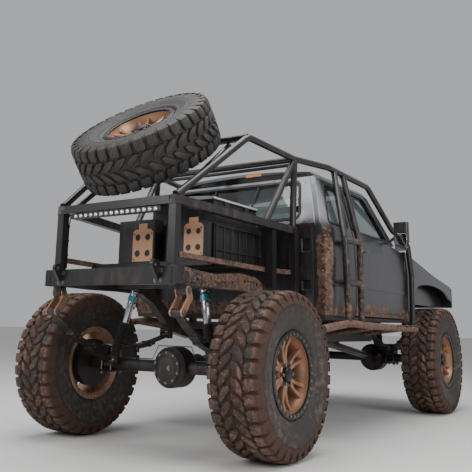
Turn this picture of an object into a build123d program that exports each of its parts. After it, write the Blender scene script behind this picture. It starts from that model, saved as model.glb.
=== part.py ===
from build123d import *
from math import atan2, cos, pi, radians, sin, sqrt
import os

# A lifted off-road pickup with an extended cab, a tube-framed bed, an outside cage and a spare wheel.
# Millimetres. +Y points forward, +X to the vehicle's right side, +Z up, and the floor is at Z 0.
# A station is a distance ahead of the rear axle, so that the body follows the axles.

# Driving sizes of the chassis
WHEELBASE = 3075.0
TRACK = 1516.0
FRONT_OVERHANG = 725.0
SEAT_GAP = 0.3
PIN_CLEARANCE = 0.3
LAP = 2.0
FAR_X = 900.0

# Tyres: one size on all five wheels
TYRE_TIP_R = 470.0
TREAD_DEPTH = 17.0
TREAD_HALF = 138.0
TYRE_HALF = 159.0
SHOULDER_STEP = 6.0
BULGE_R = 372.0
BEAD_TOP_R = 246.0
BEAD_HALF = 122.0
LUG_COUNT = 24
LUG_SHARE = 0.6
FLANK_SHARE = 0.06

# Wheels
RIM_R = 216.0
RIM_WALL = 9.0
RING_R = 240.0
RING_DEPTH = 12.0
FLANGE_DEPTH = 7.0
SPOKE_COUNT = 6
SPOKE_FACE = 92.0
SPOKE_DEPTH = 28.0
SPOKE_DISH = 14.0
HUB_R = 70.0
HUB_BACK = 20.0
HUB_BORE_END = 70.0
CAP_R = 38.0
CAP_FACE = 112.0
SPINDLE_R = 30.0

# Bed and cage tubes
BED_TUBE = 50.0
BED_LOW_TUBE = 30.0
CAGE_R = 22.25
SLIDER_R = 25.0
ROD_R = 16.0
CAGE_BEND = 110.0
DIAGONAL_FOOT = (-556.0, 1445.0)
PEAK = (40.0, 1910.0)
SPARE_ALONG = 465.0

# Places that follow from those
PITCH = 360.0 / LUG_COUNT
GAP_HALF = PITCH * (1 - LUG_SHARE) / 2
AXLE_Z = TYRE_TIP_R * cos(radians(GAP_HALF))
slope = atan2(PEAK[1] - DIAGONAL_FOOT[1], PEAK[0] - DIAGONAL_FOOT[0])
spare_rise = CAGE_R + SEAT_GAP + TYRE_HALF
SPARE_CENTRE = (
    DIAGONAL_FOOT[0] + SPARE_ALONG * cos(slope) - spare_rise * sin(slope),
    DIAGONAL_FOOT[1] + SPARE_ALONG * sin(slope) + spare_rise * cos(slope),
)
SPARE_REACH = AXLE_Z * cos(slope) + TREAD_HALF * sin(slope) - SPARE_CENTRE[0]
REAR_AXLE_Y = (SPARE_REACH - FRONT_OVERHANG - WHEELBASE) / 2
FRONT_STATION = WHEELBASE
WHEEL_X = TRACK / 2

# Ladder frame
RAIL_OUTER = 500.0
RAIL_WIDTH = 65.0
FRONT_RAIL_OUTER = 395.0
RAIL_NARROWS = (2200.0, 2500.0)
RAIL_REAR = -555.0
RAIL_FRONT = 3590.0
RAIL_LEVEL_TOP = 745.0
# Columns: station, top, bottom
RAIL_SIDE = (
    (RAIL_REAR, 1041.0, 950.0),
    (-226.0, 1022.0, 943.0),
    (50.0, 1048.0, 945.0),
    (246.0, 1036.0, 938.0),
    (389.0, 972.0, 872.0),
    (620.0, 785.0, 680.0),
    (860.0, RAIL_LEVEL_TOP, 630.0),
    (2300.0, RAIL_LEVEL_TOP, 630.0),
    (2620.0, 890.0, 770.0),
    (2820.0, 935.0, 820.0),
    (RAIL_FRONT, 935.0, 820.0),
)

# Cab
WALL_LOW = 85.0
WALL_HIGH = 35.0
ROOF_WALL = 28.0
FLOOR_TOP = 812.0
FLOOR_BOTTOM = 788.0
BELT_Z = 1402.0
ROOF_SPLIT = 1806.0
ROOF_CROWN = 1880.0
CAB_REAR = 615.0
ROOF_REAR = 850.0
DOOR_REAR = 1141.0
DOOR_FRONT = 2206.0
DOOR_BOTTOM = FLOOR_TOP + 8.0
PANEL_GAP = 10.0
SWING_GAP = 14.0
COWL_GAP = 16.0
GLASS = 6.0
HINGE_X = 812.0
HINGE_R = 7.0
HINGE_PIN_R = 4.0
KNUCKLE = 60.0

# Front of the body
HOOD_HALF = 684.0
HOOD_THICK = 26.0
HOOD_EDGE = 12.0
SKIN = 18.0
FENDER_X = 815.0
NOSE = 3600.0
GRILLE_DEPTH = 34.0

# Steering
KINGPIN_X = 655.0
KINGPIN_R = 12.0
ARM_REACH = 150.0
TIE_ROD_R = 14.0


def at(x, station, z):
    return (x, REAR_AXLE_Y + station, z)


def side(points):
    """Places in side view from stations and heights."""
    return [(REAR_AXLE_Y + station, z) for station, z in points]


def bar_plane(start, end):
    """A plane at the start of a bar, square to it and level across it."""
    run = Vector(*end) - Vector(*start)
    level = Vector(0, 0, 1).cross(run)
    if level.length < 1e-6 * run.length:
        level = Vector(1, 0, 0)
    return Plane(origin=start, x_dir=level, z_dir=run)


def length_of(start, end):
    return (Vector(*end) - Vector(*start)).length


def prism_x(points, low, high):
    """A solid with this side outline, from X low to X high."""
    with BuildPart() as prism:
        with BuildSketch(Plane.YZ.offset(low)):
            with BuildLine():
                Polyline(*side(points), close=True)
            make_face()
        extrude(amount=high - low)
    return prism.part


def block(x_span, station_span, z_span):
    """A plain block between two values along each axis."""
    (x0, x1), (s0, s1), (z0, z1) = x_span, station_span, z_span
    return prism_x([(s0, z0), (s1, z0), (s1, z1), (s0, z1)], x0, x1)


def round_bar(start, end, radius):
    with BuildPart() as bar:
        with BuildSketch(bar_plane(start, end)):
            Circle(radius)
        extrude(amount=length_of(start, end))
    return bar.part


def square_bar(start, end, width):
    with BuildPart() as bar:
        with BuildSketch(bar_plane(start, end)):
            Rectangle(width, width)
        extrude(amount=length_of(start, end))
    return bar.part


def bent_tube(points, radius, bend):
    with BuildPart() as tube:
        with BuildLine() as path:
            FilletPolyline(*points, radius=bend)
        for run in path.line.edges():
            with BuildSketch(Plane(origin=run @ 0, z_dir=run % 0)):
                Circle(radius)
            if run.geom_type == GeomType.LINE:
                extrude(amount=run.length)
            else:
                sweep(path=run)
    return tube.part


def both_sides(piece):
    with BuildPart() as pair:
        add(piece)
        mirror(piece, about=Plane.YZ)
    return pair.part


def left_of(piece):
    with BuildPart() as mirrored:
        mirror(piece, about=Plane.YZ)
    return mirrored.part


# Tyre: two staggered rows of lugs over a carcass whose walls bulge, then draw in to the beads
FLAT_SHARE = cos(pi / LUG_COUNT)
root_r = TYRE_TIP_R - TREAD_DEPTH
shoulder_r = root_r - SHOULDER_STEP


def lug_row(phase):
    """Points of one row of lugs around a tyre: flat tips between sloping flanks."""
    tip_half = PITCH * LUG_SHARE / 2
    root_half = tip_half + PITCH * FLANK_SHARE
    points = []
    for lug in range(LUG_COUNT):
        for turn, radius in ((-root_half, root_r), (-tip_half, TYRE_TIP_R), (tip_half, TYRE_TIP_R), (root_half, root_r)):
            angle = radians(phase + lug * PITCH + turn)
            points.append((radius * cos(angle), radius * sin(angle)))
    return points


with BuildPart() as dish:
    with BuildSketch(Plane.XY.offset(BEAD_HALF)):
        RegularPolygon(BULGE_R, LUG_COUNT)
    extrude(amount=TYRE_HALF - BEAD_HALF + LAP)
    bottom = dish.faces().sort_by(Axis.Z)[0]
    dish_run = (BULGE_R - BEAD_TOP_R) * FLAT_SHARE
    chamfer(bottom.edges(), length=dish_run, length2=TYRE_HALF - BEAD_HALF, reference=bottom)
with BuildPart() as tyre:
    with BuildSketch(Plane.XY.offset(-TYRE_HALF)):
        RegularPolygon(shoulder_r, LUG_COUNT)
    extrude(amount=2 * TYRE_HALF)
    for end in (0, -1):
        wall = tyre.faces().sort_by(Axis.Z)[end]
        wall_run = (shoulder_r - BULGE_R) * FLAT_SHARE
        chamfer(wall.edges(), length=wall_run, length2=TYRE_HALF - TREAD_HALF, reference=wall)
    for low, phase in ((-TREAD_HALF, 0.0), (0.0, PITCH / 2)):
        with BuildSketch(Plane.XY.offset(low)):
            with BuildLine():
                Polyline(*lug_row(phase), close=True)
            make_face()
        extrude(amount=TREAD_HALF)
    add(dish.part, mode=Mode.SUBTRACT)
    mirror(dish.part, about=Plane.XY, mode=Mode.SUBTRACT)
    Hole(RIM_R + SEAT_GAP)

# Wheel: a barrel with a clamping ring outside, pairs of tapered spokes and a hub bored for the spindle
barrel_end = BEAD_HALF + SEAT_GAP
barrel_inner = RIM_R - RIM_WALL
# Columns: distance from the centre, distance of a spoke's middle from the pair's middle, its width
SPOKE_SECTIONS = (
    (HUB_R - 10.0, 10.0, 30.0),
    (130.0, 20.0, 22.0),
    (barrel_inner + LAP, 35.0, 30.0),
)
# Columns: distance from the centre, drop below the spokes' face
DISH_LINE = ((CAP_R + 50.0, 0.0), (138.0, SPOKE_DISH), (196.0, 0.0))
with BuildPart() as rim:
    with BuildSketch(Plane.XZ):
        with BuildLine():
            Polyline(
                (barrel_inner, -barrel_end - FLANGE_DEPTH),
                (RING_R, -barrel_end - FLANGE_DEPTH),
                (RING_R, -barrel_end),
                (RIM_R, -barrel_end),
                (RIM_R, barrel_end),
                (RING_R, barrel_end),
                (RING_R, barrel_end + RING_DEPTH),
                (barrel_inner, barrel_end + RING_DEPTH),
                close=True,
            )
        make_face()
    revolve(axis=Axis.Z)
    with BuildSketch(Plane.XY.offset(SPOKE_FACE - SPOKE_DEPTH)):
        with PolarLocations(0, SPOKE_COUNT):
            for lean in (-1, 1):
                near = [(r, lean * (middle - width / 2)) for r, middle, width in SPOKE_SECTIONS]
                away = [(r, lean * (middle + width / 2)) for r, middle, width in reversed(SPOKE_SECTIONS)]
                Polygon(*near, *away, align=None)
    extrude(amount=SPOKE_DEPTH)
    with BuildSketch(Plane.XZ):
        with BuildLine():
            Polyline(*[(r, SPOKE_FACE - drop) for r, drop in DISH_LINE], close=True)
        make_face()
    revolve(axis=Axis.Z, mode=Mode.SUBTRACT)
    with BuildSketch(Plane.XY.offset(HUB_BACK)):
        Circle(HUB_R)
    extrude(amount=SPOKE_FACE - HUB_BACK)
    with BuildSketch(Plane.XY.offset(SPOKE_FACE)):
        Circle(CAP_R)
    extrude(amount=CAP_FACE - SPOKE_FACE)
    with BuildSketch(Plane.XY.offset(HUB_BACK)):
        Circle(SPINDLE_R + PIN_CLEARANCE)
    extrude(amount=HUB_BORE_END - HUB_BACK, mode=Mode.SUBTRACT)


def hub_plane(x, station):
    outward = 1 if x > 0 else -1
    return Plane(origin=at(x, station, AXLE_Z), x_dir=(0, 0, -1), z_dir=(outward, 0, 0))


# The spare lies face up on the two sloping cage tubes. Columns: place, hub plane
WHEELS = (
    ("rear_left", hub_plane(-WHEEL_X, 0)),
    ("rear_right", hub_plane(WHEEL_X, 0)),
    ("front_left", hub_plane(-WHEEL_X, FRONT_STATION)),
    ("front_right", hub_plane(WHEEL_X, FRONT_STATION)),
    ("spare", Plane(origin=at(0, *SPARE_CENTRE), x_dir=(1, 0, 0), z_dir=(0, -sin(slope), cos(slope)))),
)
pieces = {}
for place, hub in WHEELS:
    for name, piece in (("tyre_", tyre), ("rim_", rim)):
        with BuildPart() as placed:
            with Locations(hub.location):
                add(piece.part)
        pieces[name + place] = placed.part

# Ladder frame: two boxed rails, bent in side view over both axles and drawn in ahead of the cab
SPRING_WIDTH = 64.0
SPRING_PACK = 45.0
PAD_TOP = 530.0
EYE_R = 22.0
PIN_R = 9.0
EAR = 10.0
LINK_END_R = 24.0
REAR_SPRING_X = 480.0
FRONT_SPRING_X = FRONT_RAIL_OUTER - RAIL_WIDTH / 2
EYE_CLEARANCE = 4.0
# Columns: spring's x, axle station, then (ahead, up) of the shackle's foot, its elbow, its head and the fixed eye
SPRINGS = (
    (REAR_SPRING_X, 0.0, (-557.0, 793.0), (-496.0, 876.0), (-511.0, 915.0), (600.0, 655.0)),
    (FRONT_SPRING_X, FRONT_STATION, (470.0, 690.0), (508.0, 752.0), (492.0, 785.0), (-520.0, 690.0)),
)
SHOCK_SHELF = ((258.0, FRONT_RAIL_OUTER - RAIL_WIDTH + LAP), (FRONT_STATION - 155, FRONT_STATION - 90), (860.0, 884.0))
TAIL_PLATE = 8.0
TAIL_PLATE_FRONT = -505.0
RAIL_HOLE_R = 11.0
RAIL_HOLE_DEPTH = 14.0
# Columns: station, height
RAIL_HOLES = ((-403.0, 983.0), (110.0, 999.0), (255.0, 991.0))


def rail_bottom(station):
    for (s0, _, low0), (s1, _, low1) in zip(RAIL_SIDE, RAIL_SIDE[1:]):
        if s0 <= station <= s1:
            return low0 + (low1 - low0) * (station - s0) / (s1 - s0)
    return RAIL_SIDE[-1][2]


with BuildPart() as rail_right:
    with BuildSketch(Plane.YZ.offset(FRONT_RAIL_OUTER - RAIL_WIDTH)):
        with BuildLine():
            rail_upper = [(s, top) for s, top, _ in RAIL_SIDE]
            rail_lower = [(s, low) for s, _, low in reversed(RAIL_SIDE)]
            Polyline(*side(rail_upper + rail_lower), close=True)
        make_face()
    extrude(amount=RAIL_OUTER - FRONT_RAIL_OUTER + RAIL_WIDTH)
    with BuildSketch(Plane.XY):
        with BuildLine():
            outer = [(RAIL_OUTER, RAIL_REAR), (RAIL_OUTER, RAIL_NARROWS[0])]
            outer += [(FRONT_RAIL_OUTER, RAIL_NARROWS[1]), (FRONT_RAIL_OUTER, RAIL_FRONT)]
            inner = [(x - RAIL_WIDTH, s) for x, s in reversed(outer)]
            Polyline(*[(x, REAR_AXLE_Y + s) for x, s in outer + inner], close=True)
        make_face()
    extrude(amount=RAIL_SIDE[0][1] + RAIL_WIDTH, mode=Mode.INTERSECT)
    with BuildSketch(Plane.YZ.offset(RAIL_OUTER - RAIL_HOLE_DEPTH)):
        with Locations(*side(RAIL_HOLES)):
            Circle(RAIL_HOLE_R)
    extrude(amount=RAIL_HOLE_DEPTH, mode=Mode.SUBTRACT)
    with BuildSketch(Plane.YZ.offset(RAIL_OUTER)):
        _, tail_top, tail_low = RAIL_SIDE[0]
        tail_r = (tail_top - tail_low) / 2
        with Locations(side([(TAIL_PLATE_FRONT, tail_low + tail_r)])[0]):
            Circle(tail_r)
        with Locations(side([(RAIL_REAR + tail_r / 2, tail_low + tail_r)])[0]):
            Rectangle(tail_r, 2 * tail_r)
        make_hull()
    extrude(amount=TAIL_PLATE)
    for spring_x, axle_station, _, _, shackle_head, fixed_eye in SPRINGS:
        half = SPRING_WIDTH / 2 + SEAT_GAP
        ear_half = half + EAR
        ahead, up = shackle_head
        station = axle_station + ahead
        reach = (station - LINK_END_R, station + LINK_END_R)
        top = max(rail_bottom(s) for s in reach) + EAR
        add(block((spring_x - half, spring_x + half), reach, (up - LINK_END_R, top)))
        with BuildSketch(Plane.YZ.offset(spring_x - ear_half)):
            with Locations(side([(station, up)])[0]):
                Circle(PIN_R + PIN_CLEARANCE)
        extrude(amount=2 * ear_half, mode=Mode.SUBTRACT)
        ahead, up = fixed_eye
        station = axle_station + ahead
        reach = (station - LINK_END_R, station + LINK_END_R)
        top = max(rail_bottom(s) for s in reach)
        for face in (-1, 1):
            ear = sorted((spring_x + face * half, spring_x + face * ear_half))
            add(block(ear, reach, (up - LINK_END_R, top)))
        add(block((spring_x - ear_half, spring_x + ear_half), reach, (up + EYE_R + EYE_CLEARANCE, top)))
        with BuildSketch(Plane.YZ.offset(spring_x - ear_half)):
            with Locations(side([(station, up)])[0]):
                Circle(PIN_R)
        extrude(amount=2 * ear_half)
    add(block(*SHOCK_SHELF))
pieces["frame_rails"] = both_sides(rail_right.part)

rail_inner = RAIL_OUTER - RAIL_WIDTH
front_inner = FRONT_RAIL_OUTER - RAIL_WIDTH
GEARBOX_LOW = 600.0
# Columns: half width, station span, height span
SHOCK_CROSSMEMBER = (rail_inner, (-40.0, 10.0), (960.0, 1010.0))
CROSSMEMBERS = (
    (rail_inner, (-545.0, -495.0), (965.0, 1020.0)),
    SHOCK_CROSSMEMBER,
    (rail_inner, (650.0, 710.0), (705.0, 755.0)),
    (rail_inner, (1000.0, 1060.0), (660.0, 720.0)),
    (front_inner, (3460.0, 3520.0), (840.0, 910.0)),
)
GEARBOX_MEMBER = (1620.0, 1700.0)
GEARBOX_SEAT_HALF = 260.0
MEMBER_DEPTH = 45.0
with BuildPart() as crossmembers:
    for half, stations, heights in CROSSMEMBERS:
        add(block((-half, half), stations, heights))
    with BuildSketch(Plane.XZ.offset(-(REAR_AXLE_Y + GEARBOX_MEMBER[0]))):
        with BuildLine():
            seat = GEARBOX_LOW - SEAT_GAP
            end_top = RAIL_LEVEL_TOP - MEMBER_DEPTH
            outline = [(rail_inner, end_top), (rail_inner, end_top - MEMBER_DEPTH), (GEARBOX_SEAT_HALF, seat - MEMBER_DEPTH)]
            outline += [(-x, z) for x, z in reversed(outline)]
            outline += [(-GEARBOX_SEAT_HALF, seat), (GEARBOX_SEAT_HALF, seat)]
            Polyline(*outline, close=True)
        make_face()
    extrude(amount=GEARBOX_MEMBER[0] - GEARBOX_MEMBER[1])
pieces["crossmembers"] = crossmembers.part

# Bumpers: plain box beams with round-ended recovery tabs
TAB_BORE_R = 11.5
TAB_R = 28.0
TAB_THICK = 20.0
FRONT_BEAM = (RAIL_FRONT + 45.0, RAIL_FRONT + 125.0)
FRONT_TAB_BORE = FRONT_STATION + FRONT_OVERHANG - TAB_R
BUMPER_TOP = 1044.0
# Columns: beam's stations from the frame outward, half width, heights, tab's x, heights on the beam, bore's place
BUMPERS = (
    ((RAIL_REAR, RAIL_REAR - 50.0), 508.0, (945.0, BUMPER_TOP), 377.0, (945.0, 1075.0), (-644.0, 1049.0)),
    (FRONT_BEAM, 700.0, (840.0, 945.0), 362.0, (850.0, 935.0), (FRONT_TAB_BORE, 892.0)),
)
BEAM_ARM_HALF = 30.0
BEAM_ARM_HEIGHTS = (850.0, 930.0)
with BuildPart() as bumpers:
    for (near, far), half, heights, tab_x, tab_heights, bore in BUMPERS:
        add(block((-half, half), sorted((near, far)), heights))
        for x in (-tab_x, tab_x):
            with BuildSketch(Plane.YZ.offset(x - TAB_THICK / 2)):
                with Locations(side([bore])[0]):
                    Circle(TAB_R)
                with Locations(side([(far, sum(tab_heights) / 2)])[0]):
                    Rectangle(LAP, tab_heights[1] - tab_heights[0])
                make_hull()
                with Locations(side([bore])[0]):
                    Circle(TAB_BORE_R, mode=Mode.SUBTRACT)
            extrude(amount=TAB_THICK)
    for face in (-1, 1):
        x = face * FRONT_SPRING_X
        add(block((x - BEAM_ARM_HALF, x + BEAM_ARM_HALF), (RAIL_FRONT, FRONT_BEAM[0]), BEAM_ARM_HEIGHTS))
pieces["bumpers"] = bumpers.part

# Bed frame: square tube, narrow at the tail and flaring to the cab's corners
BED_TAIL = -556.0
BED_FRONT = 588.0
TAIL_X = 441.0
TAIL_BAR = (1394.0, 1444.0)
TOP_RAIL = (at(TAIL_X, BED_TAIL - BED_TUBE / 2, 1420.0), at(600.0, BED_FRONT, 1371.0))
CORNER_STATION = BED_FRONT - BED_TUBE / 2
LOW_RAIL = (at(450.0, BED_TAIL, 1112.0), at(508.0, 414.0, 1092.0), at(596.0, CORNER_STATION, 1090.0))
# Columns: x, station, low, high
POSTS = (
    (TAIL_X, BED_TAIL, BUMPER_TOP + SEAT_GAP, 1420.0),
    (554.0, 351.0, 973.0, 1390.0),
    (608.0, CORNER_STATION, 903.0, 1380.0),
)
BED_FLOOR_BARS = (-235.0, -60.0, 300.0)
BED_FLOOR_TOP = 1107.0


def post(x, station, low, high, extra):
    return square_bar(at(x, station, low), at(x, station, high), BED_TUBE + 2 * extra)


def top_rail(extra):
    return square_bar(*TOP_RAIL, BED_TUBE + 2 * extra)


def low_rail_x(station):
    start, knee, _ = LOW_RAIL
    share = (REAR_AXLE_Y + station - start[1]) / (knee[1] - start[1])
    return start[0] + share * (knee[0] - start[0])


def low_rail(extra):
    with BuildPart() as rail:
        with BuildLine() as path:
            Polyline(*LOW_RAIL)
        with BuildSketch(bar_plane(LOW_RAIL[0], LOW_RAIL[1])):
            Rectangle(BED_LOW_TUBE + 2 * extra, BED_LOW_TUBE + 2 * extra)
        sweep(path=path.line, transition=Transition.RIGHT)
    return rail.part


with BuildPart() as bed_rails_right:
    add(low_rail(0))
    for x, station, low, high in POSTS:
        add(post(x, station, low, high, SEAT_GAP), mode=Mode.SUBTRACT)
    add(top_rail(0))
pieces["bed_rails"] = both_sides(bed_rails_right.part)

with BuildPart() as bed_posts_right:
    for x, station, low, high in POSTS:
        add(post(x, station, low, high, 0))
    add(both_sides(top_rail(SEAT_GAP)), mode=Mode.SUBTRACT)
tail_half = TAIL_X - BED_TUBE / 2 - SEAT_GAP
tail_faces = (BED_TAIL - BED_TUBE / 2, BED_TAIL + BED_TUBE / 2)
with BuildPart() as bed_bars:
    add(both_sides(bed_posts_right.part))
    add(block((-tail_half, tail_half), tail_faces, TAIL_BAR))
    for station in BED_FLOOR_BARS:
        half = BED_LOW_TUBE / 2
        reach = low_rail_x(station)
        add(block((-reach, reach), (station - half, station + half), (BED_FLOOR_TOP - BED_LOW_TUBE, BED_FLOOR_TOP)))
    add(both_sides(low_rail(SEAT_GAP)), mode=Mode.SUBTRACT)
pieces["bed_bars"] = bed_bars.part

# Cage: one bent tube along each side, from the tail over the roof and down ahead of the door
CAGE_FOOT_X = 843.0
SIDE_TUBE = (
    at(448.0, *DIAGONAL_FOOT),
    at(556.0, *PEAK),
    at(605.0, 590.0, 1877.0),
    at(690.0, 960.0, 1882.0),
    at(702.0, 1695.0, 1866.0),
    at(768.0, 2062.0, 1552.0),
    at(CAGE_FOOT_X, 2228.0, 1450.0),
    at(CAGE_FOOT_X, 2300.0, 1190.0),
    at(CAGE_FOOT_X, 2270.0, 745.0),
)
SLIDER = (at(872.0, 430.0, 724.0), at(872.0, 860.0, 766.0), at(872.0, 1240.0, 752.0), at(850.0, 2320.0, 738.0))
SLIDER_LEG_R = 19.0
SLIDER_LEG_START = RAIL_OUTER - 30.0
SLIDER_LEG_END = 862.0
# Columns: station, height at the rail, height at the slider
SLIDER_LEGS = ((720.0, 700.0, 750.0), (1420.0, 690.0, 748.0), (2050.0, 690.0, 742.0))


def side_tube(extra):
    return bent_tube(SIDE_TUBE, CAGE_R + extra, CAGE_BEND)


def slider_tube(extra):
    return bent_tube(SLIDER, SLIDER_R + extra, CAGE_BEND)


with BuildPart() as side_tubes_right:
    add(side_tube(0))
    add(both_sides(top_rail(SEAT_GAP)), mode=Mode.SUBTRACT)
    add(slider_tube(SEAT_GAP), mode=Mode.SUBTRACT)
pieces["cage_side_tubes"] = both_sides(side_tubes_right.part)

with BuildPart() as slider_right:
    add(slider_tube(0))
    for station, rail_z, slider_z in SLIDER_LEGS:
        add(round_bar(at(SLIDER_LEG_START, station, rail_z), at(SLIDER_LEG_END, station, slider_z), SLIDER_LEG_R))
    rail_side_room = ((0.0, RAIL_OUTER + SEAT_GAP), (0.0, RAIL_NARROWS[0]), (FLOOR_BOTTOM / 2, FLOOR_BOTTOM))
    add(block(*rail_side_room), mode=Mode.SUBTRACT)
pieces["rock_sliders"] = both_sides(slider_right.part)

N_JOINT = SIDE_TUBE[2]
BRACE_TOP = 1384.0
# The two braces that run down from each joint to the bed's top rail
BRACE_FEET = (at(600.0, CORNER_STATION, BRACE_TOP), at(556.0, 260.0, BRACE_TOP))
SLIM_BAR_R = 12.0
SLIM_BAR_DROP = 39.0


def brace(foot, extra):
    return round_bar(N_JOINT, foot, CAGE_R + extra)


def joint_bar(extra):
    return round_bar((-N_JOINT[0], N_JOINT[1], N_JOINT[2]), N_JOINT, CAGE_R + extra)


with BuildPart() as cage_cross_tubes:
    peak_x, peak_y, peak_z = SIDE_TUBE[1]
    add(round_bar((-peak_x, peak_y, peak_z), (peak_x, peak_y, peak_z), CAGE_R))
    add(joint_bar(0))
    slim_z = N_JOINT[2] - SLIM_BAR_DROP
    add(round_bar((-N_JOINT[0], N_JOINT[1], slim_z), (N_JOINT[0], N_JOINT[1], slim_z), SLIM_BAR_R))
    add(both_sides(side_tube(SEAT_GAP)), mode=Mode.SUBTRACT)
    with BuildPart(mode=Mode.PRIVATE) as brace_room:
        add(brace(BRACE_FEET[0], SEAT_GAP))
        add(brace(BRACE_FEET[1], SEAT_GAP))
        with Locations(Location(N_JOINT)):
            Box(CAGE_BEND, CAGE_BEND, 2 * (CAGE_R + LAP), mode=Mode.SUBTRACT)
    add(both_sides(brace_room.part), mode=Mode.SUBTRACT)
pieces["cage_cross_tubes"] = cage_cross_tubes.part

# Ladder of two bent tubes behind each door, from the roof's tube down to the slider
ELBOW_Z = 1330.0
LOWER_BAR_Z = 1039.0
# Columns: head, elbow, foot
LADDER_TUBES = (
    (at(690.0, 1063.0, 1880.0), at(860.0, 841.0, ELBOW_Z), at(876.0, 841.0, 766.0)),
    (at(694.0, 1215.0, 1876.0), at(868.0, 1085.0, ELBOW_Z), at(868.0, 1085.0, 757.0)),
)
with BuildPart() as braces_right:
    for tube in LADDER_TUBES:
        add(bent_tube(tube, CAGE_R, CAGE_BEND))
    (_, rear_elbow, _), (_, front_elbow, _) = LADDER_TUBES
    for height in (ELBOW_Z, LOWER_BAR_Z):
        add(round_bar((rear_elbow[0] + LAP, rear_elbow[1], height), (front_elbow[0], front_elbow[1], height), CAGE_R))
    for foot in BRACE_FEET:
        add(brace(foot, 0))
    add(side_tube(SEAT_GAP), mode=Mode.SUBTRACT)
    add(top_rail(SEAT_GAP), mode=Mode.SUBTRACT)
    add(slider_tube(SEAT_GAP), mode=Mode.SUBTRACT)
    add(joint_bar(SEAT_GAP), mode=Mode.SUBTRACT)
pieces["cage_braces"] = both_sides(braces_right.part)

# Spare's carrier: two slim rods beside the sloping tubes, from the tail bar up to the peak's cross tube
ROD_X = 395.0
ROD_LAP = 10.0
rod_drop = CAGE_R + ROD_R + SEAT_GAP
rod_foot = at(ROD_X, DIAGONAL_FOOT[0] + rod_drop * sin(slope), DIAGONAL_FOOT[1] - rod_drop * cos(slope))
rod_head = at(
    ROD_X,
    PEAK[0] + rod_drop * sin(slope) + ROD_LAP * cos(slope),
    PEAK[1] - rod_drop * cos(slope) + ROD_LAP * sin(slope),
)
with BuildPart() as carrier_right:
    add(round_bar(rod_foot, rod_head, ROD_R))
    tail_room = (tail_faces[0] - BED_TUBE, tail_faces[1] + SEAT_GAP)
    add(block((-tail_half, tail_half), tail_room, (TAIL_BAR[0] - BED_TUBE, TAIL_BAR[1] + SEAT_GAP)), mode=Mode.SUBTRACT)
pieces["spare_carrier"] = both_sides(carrier_right.part)

# Cab: one outline in end view; the panels are cut from it where the real ones meet
# Columns: half width, height
CAB_SIDE = (
    (798.0, FLOOR_TOP),
    (812.0, 900.0),
    (815.0, 1150.0),
    (806.0, 1330.0),
    (790.0, BELT_Z),
    (645.0, 1795.0),
    (600.0, 1845.0),
)
pillar_run = Vector(CAB_SIDE[5][0] - CAB_SIDE[4][0], CAB_SIDE[5][1] - CAB_SIDE[4][1])
inward = Vector(-pillar_run.Y, pillar_run.X).normalized() * WALL_HIGH
sill_line = BELT_Z + inward.Y
CAB_INNER = (
    *[(x - WALL_LOW, z) for x, z in CAB_SIDE[:4]],
    (CAB_SIDE[3][0] - WALL_LOW, sill_line),
    (CAB_SIDE[4][0] + inward.X, sill_line),
    (CAB_SIDE[5][0] + inward.X, CAB_SIDE[5][1] + inward.Y),
    (CAB_SIDE[6][0] - ROOF_WALL, CAB_SIDE[6][1] - ROOF_WALL),
)
COWL_STATION = DOOR_FRONT + COWL_GAP
FIREWALL = 34.0


def cab_section(outline, crown):
    """The cab's length in this end view, with a crowned roof."""
    with BuildPart() as section:
        with BuildSketch(Plane.XZ.offset(-(REAR_AXLE_Y + CAB_REAR))):
            with BuildLine():
                right = [(x, z) for x, z in outline]
                left = [(-x, z) for x, z in reversed(outline)]
                Polyline(left[-1], *right)
                ThreePointArc(right[-1], (0, crown), left[0])
                Polyline(*left)
            make_face()
        extrude(amount=CAB_REAR - COWL_STATION)
    return section.part


cab_outer = cab_section(CAB_SIDE, ROOF_CROWN)
cab_inner = cab_section(CAB_INNER, ROOF_CROWN - ROOF_WALL)
with BuildPart() as cab_shell:
    add(cab_outer)
    add(cab_inner, mode=Mode.SUBTRACT)

# Slanted lines in side view, as (station, height)
BACK_GLASS = ((CAB_REAR, 1426.0), (ROOF_REAR - 12.0, ROOF_SPLIT - SEAT_GAP))
PILLAR_B = ((DOOR_REAR, 1330.0), (1262.0, 1800.0))
PILLAR_A = ((1968.0, BELT_Z), (1738.0, 1800.0))
PILLAR_A_WIDTH = 88.0
DOOR_TOP = ROOF_SPLIT - PANEL_GAP
PANEL_FOOT = 900.0
DOOR_OUTLINE = (
    (DOOR_REAR, DOOR_BOTTOM),
    PILLAR_B[0],
    (PILLAR_B[1][0], DOOR_TOP),
    (PILLAR_A[1][0], DOOR_TOP),
    PILLAR_A[0],
    (DOOR_FRONT, 1376.0),
    (DOOR_FRONT, 860.0),
    (DOOR_FRONT - 30.0, DOOR_BOTTOM),
)
DOOR_WINDOW = ((1185.0, 1440.0), (1290.0, 1765.0), (1708.0, 1765.0), (1896.0, 1440.0))
QUARTER_OUTLINE = (
    (CAB_REAR + 20.0, FLOOR_TOP),
    (CAB_REAR, PANEL_FOOT),
    BACK_GLASS[0],
    BACK_GLASS[1],
    (PILLAR_B[1][0] - SWING_GAP, ROOF_SPLIT - SEAT_GAP),
    (PILLAR_B[0][0] - PANEL_GAP, PILLAR_B[0][1]),
    (DOOR_REAR - PANEL_GAP, FLOOR_TOP),
)
QUARTER_WINDOW = ((770.0, 1450.0), (938.0, 1755.0), (1190.0, 1755.0), (1108.0, 1450.0))
SIDE_NEAR = 400.0
MOULDING_X = (808.0, 819.0)
MOULDING_Z = (1020.0, 1044.0)
MOULDING_END = 25.0


def cab_panel(outline, window, low, high):
    """A piece of the cab's wall with this side outline, its window cut through."""
    with BuildPart() as panel:
        add(cab_shell.part)
        add(prism_x(outline, low, high), mode=Mode.INTERSECT)
        if window:
            add(prism_x(window, low, high), mode=Mode.SUBTRACT)
    return panel.part


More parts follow.
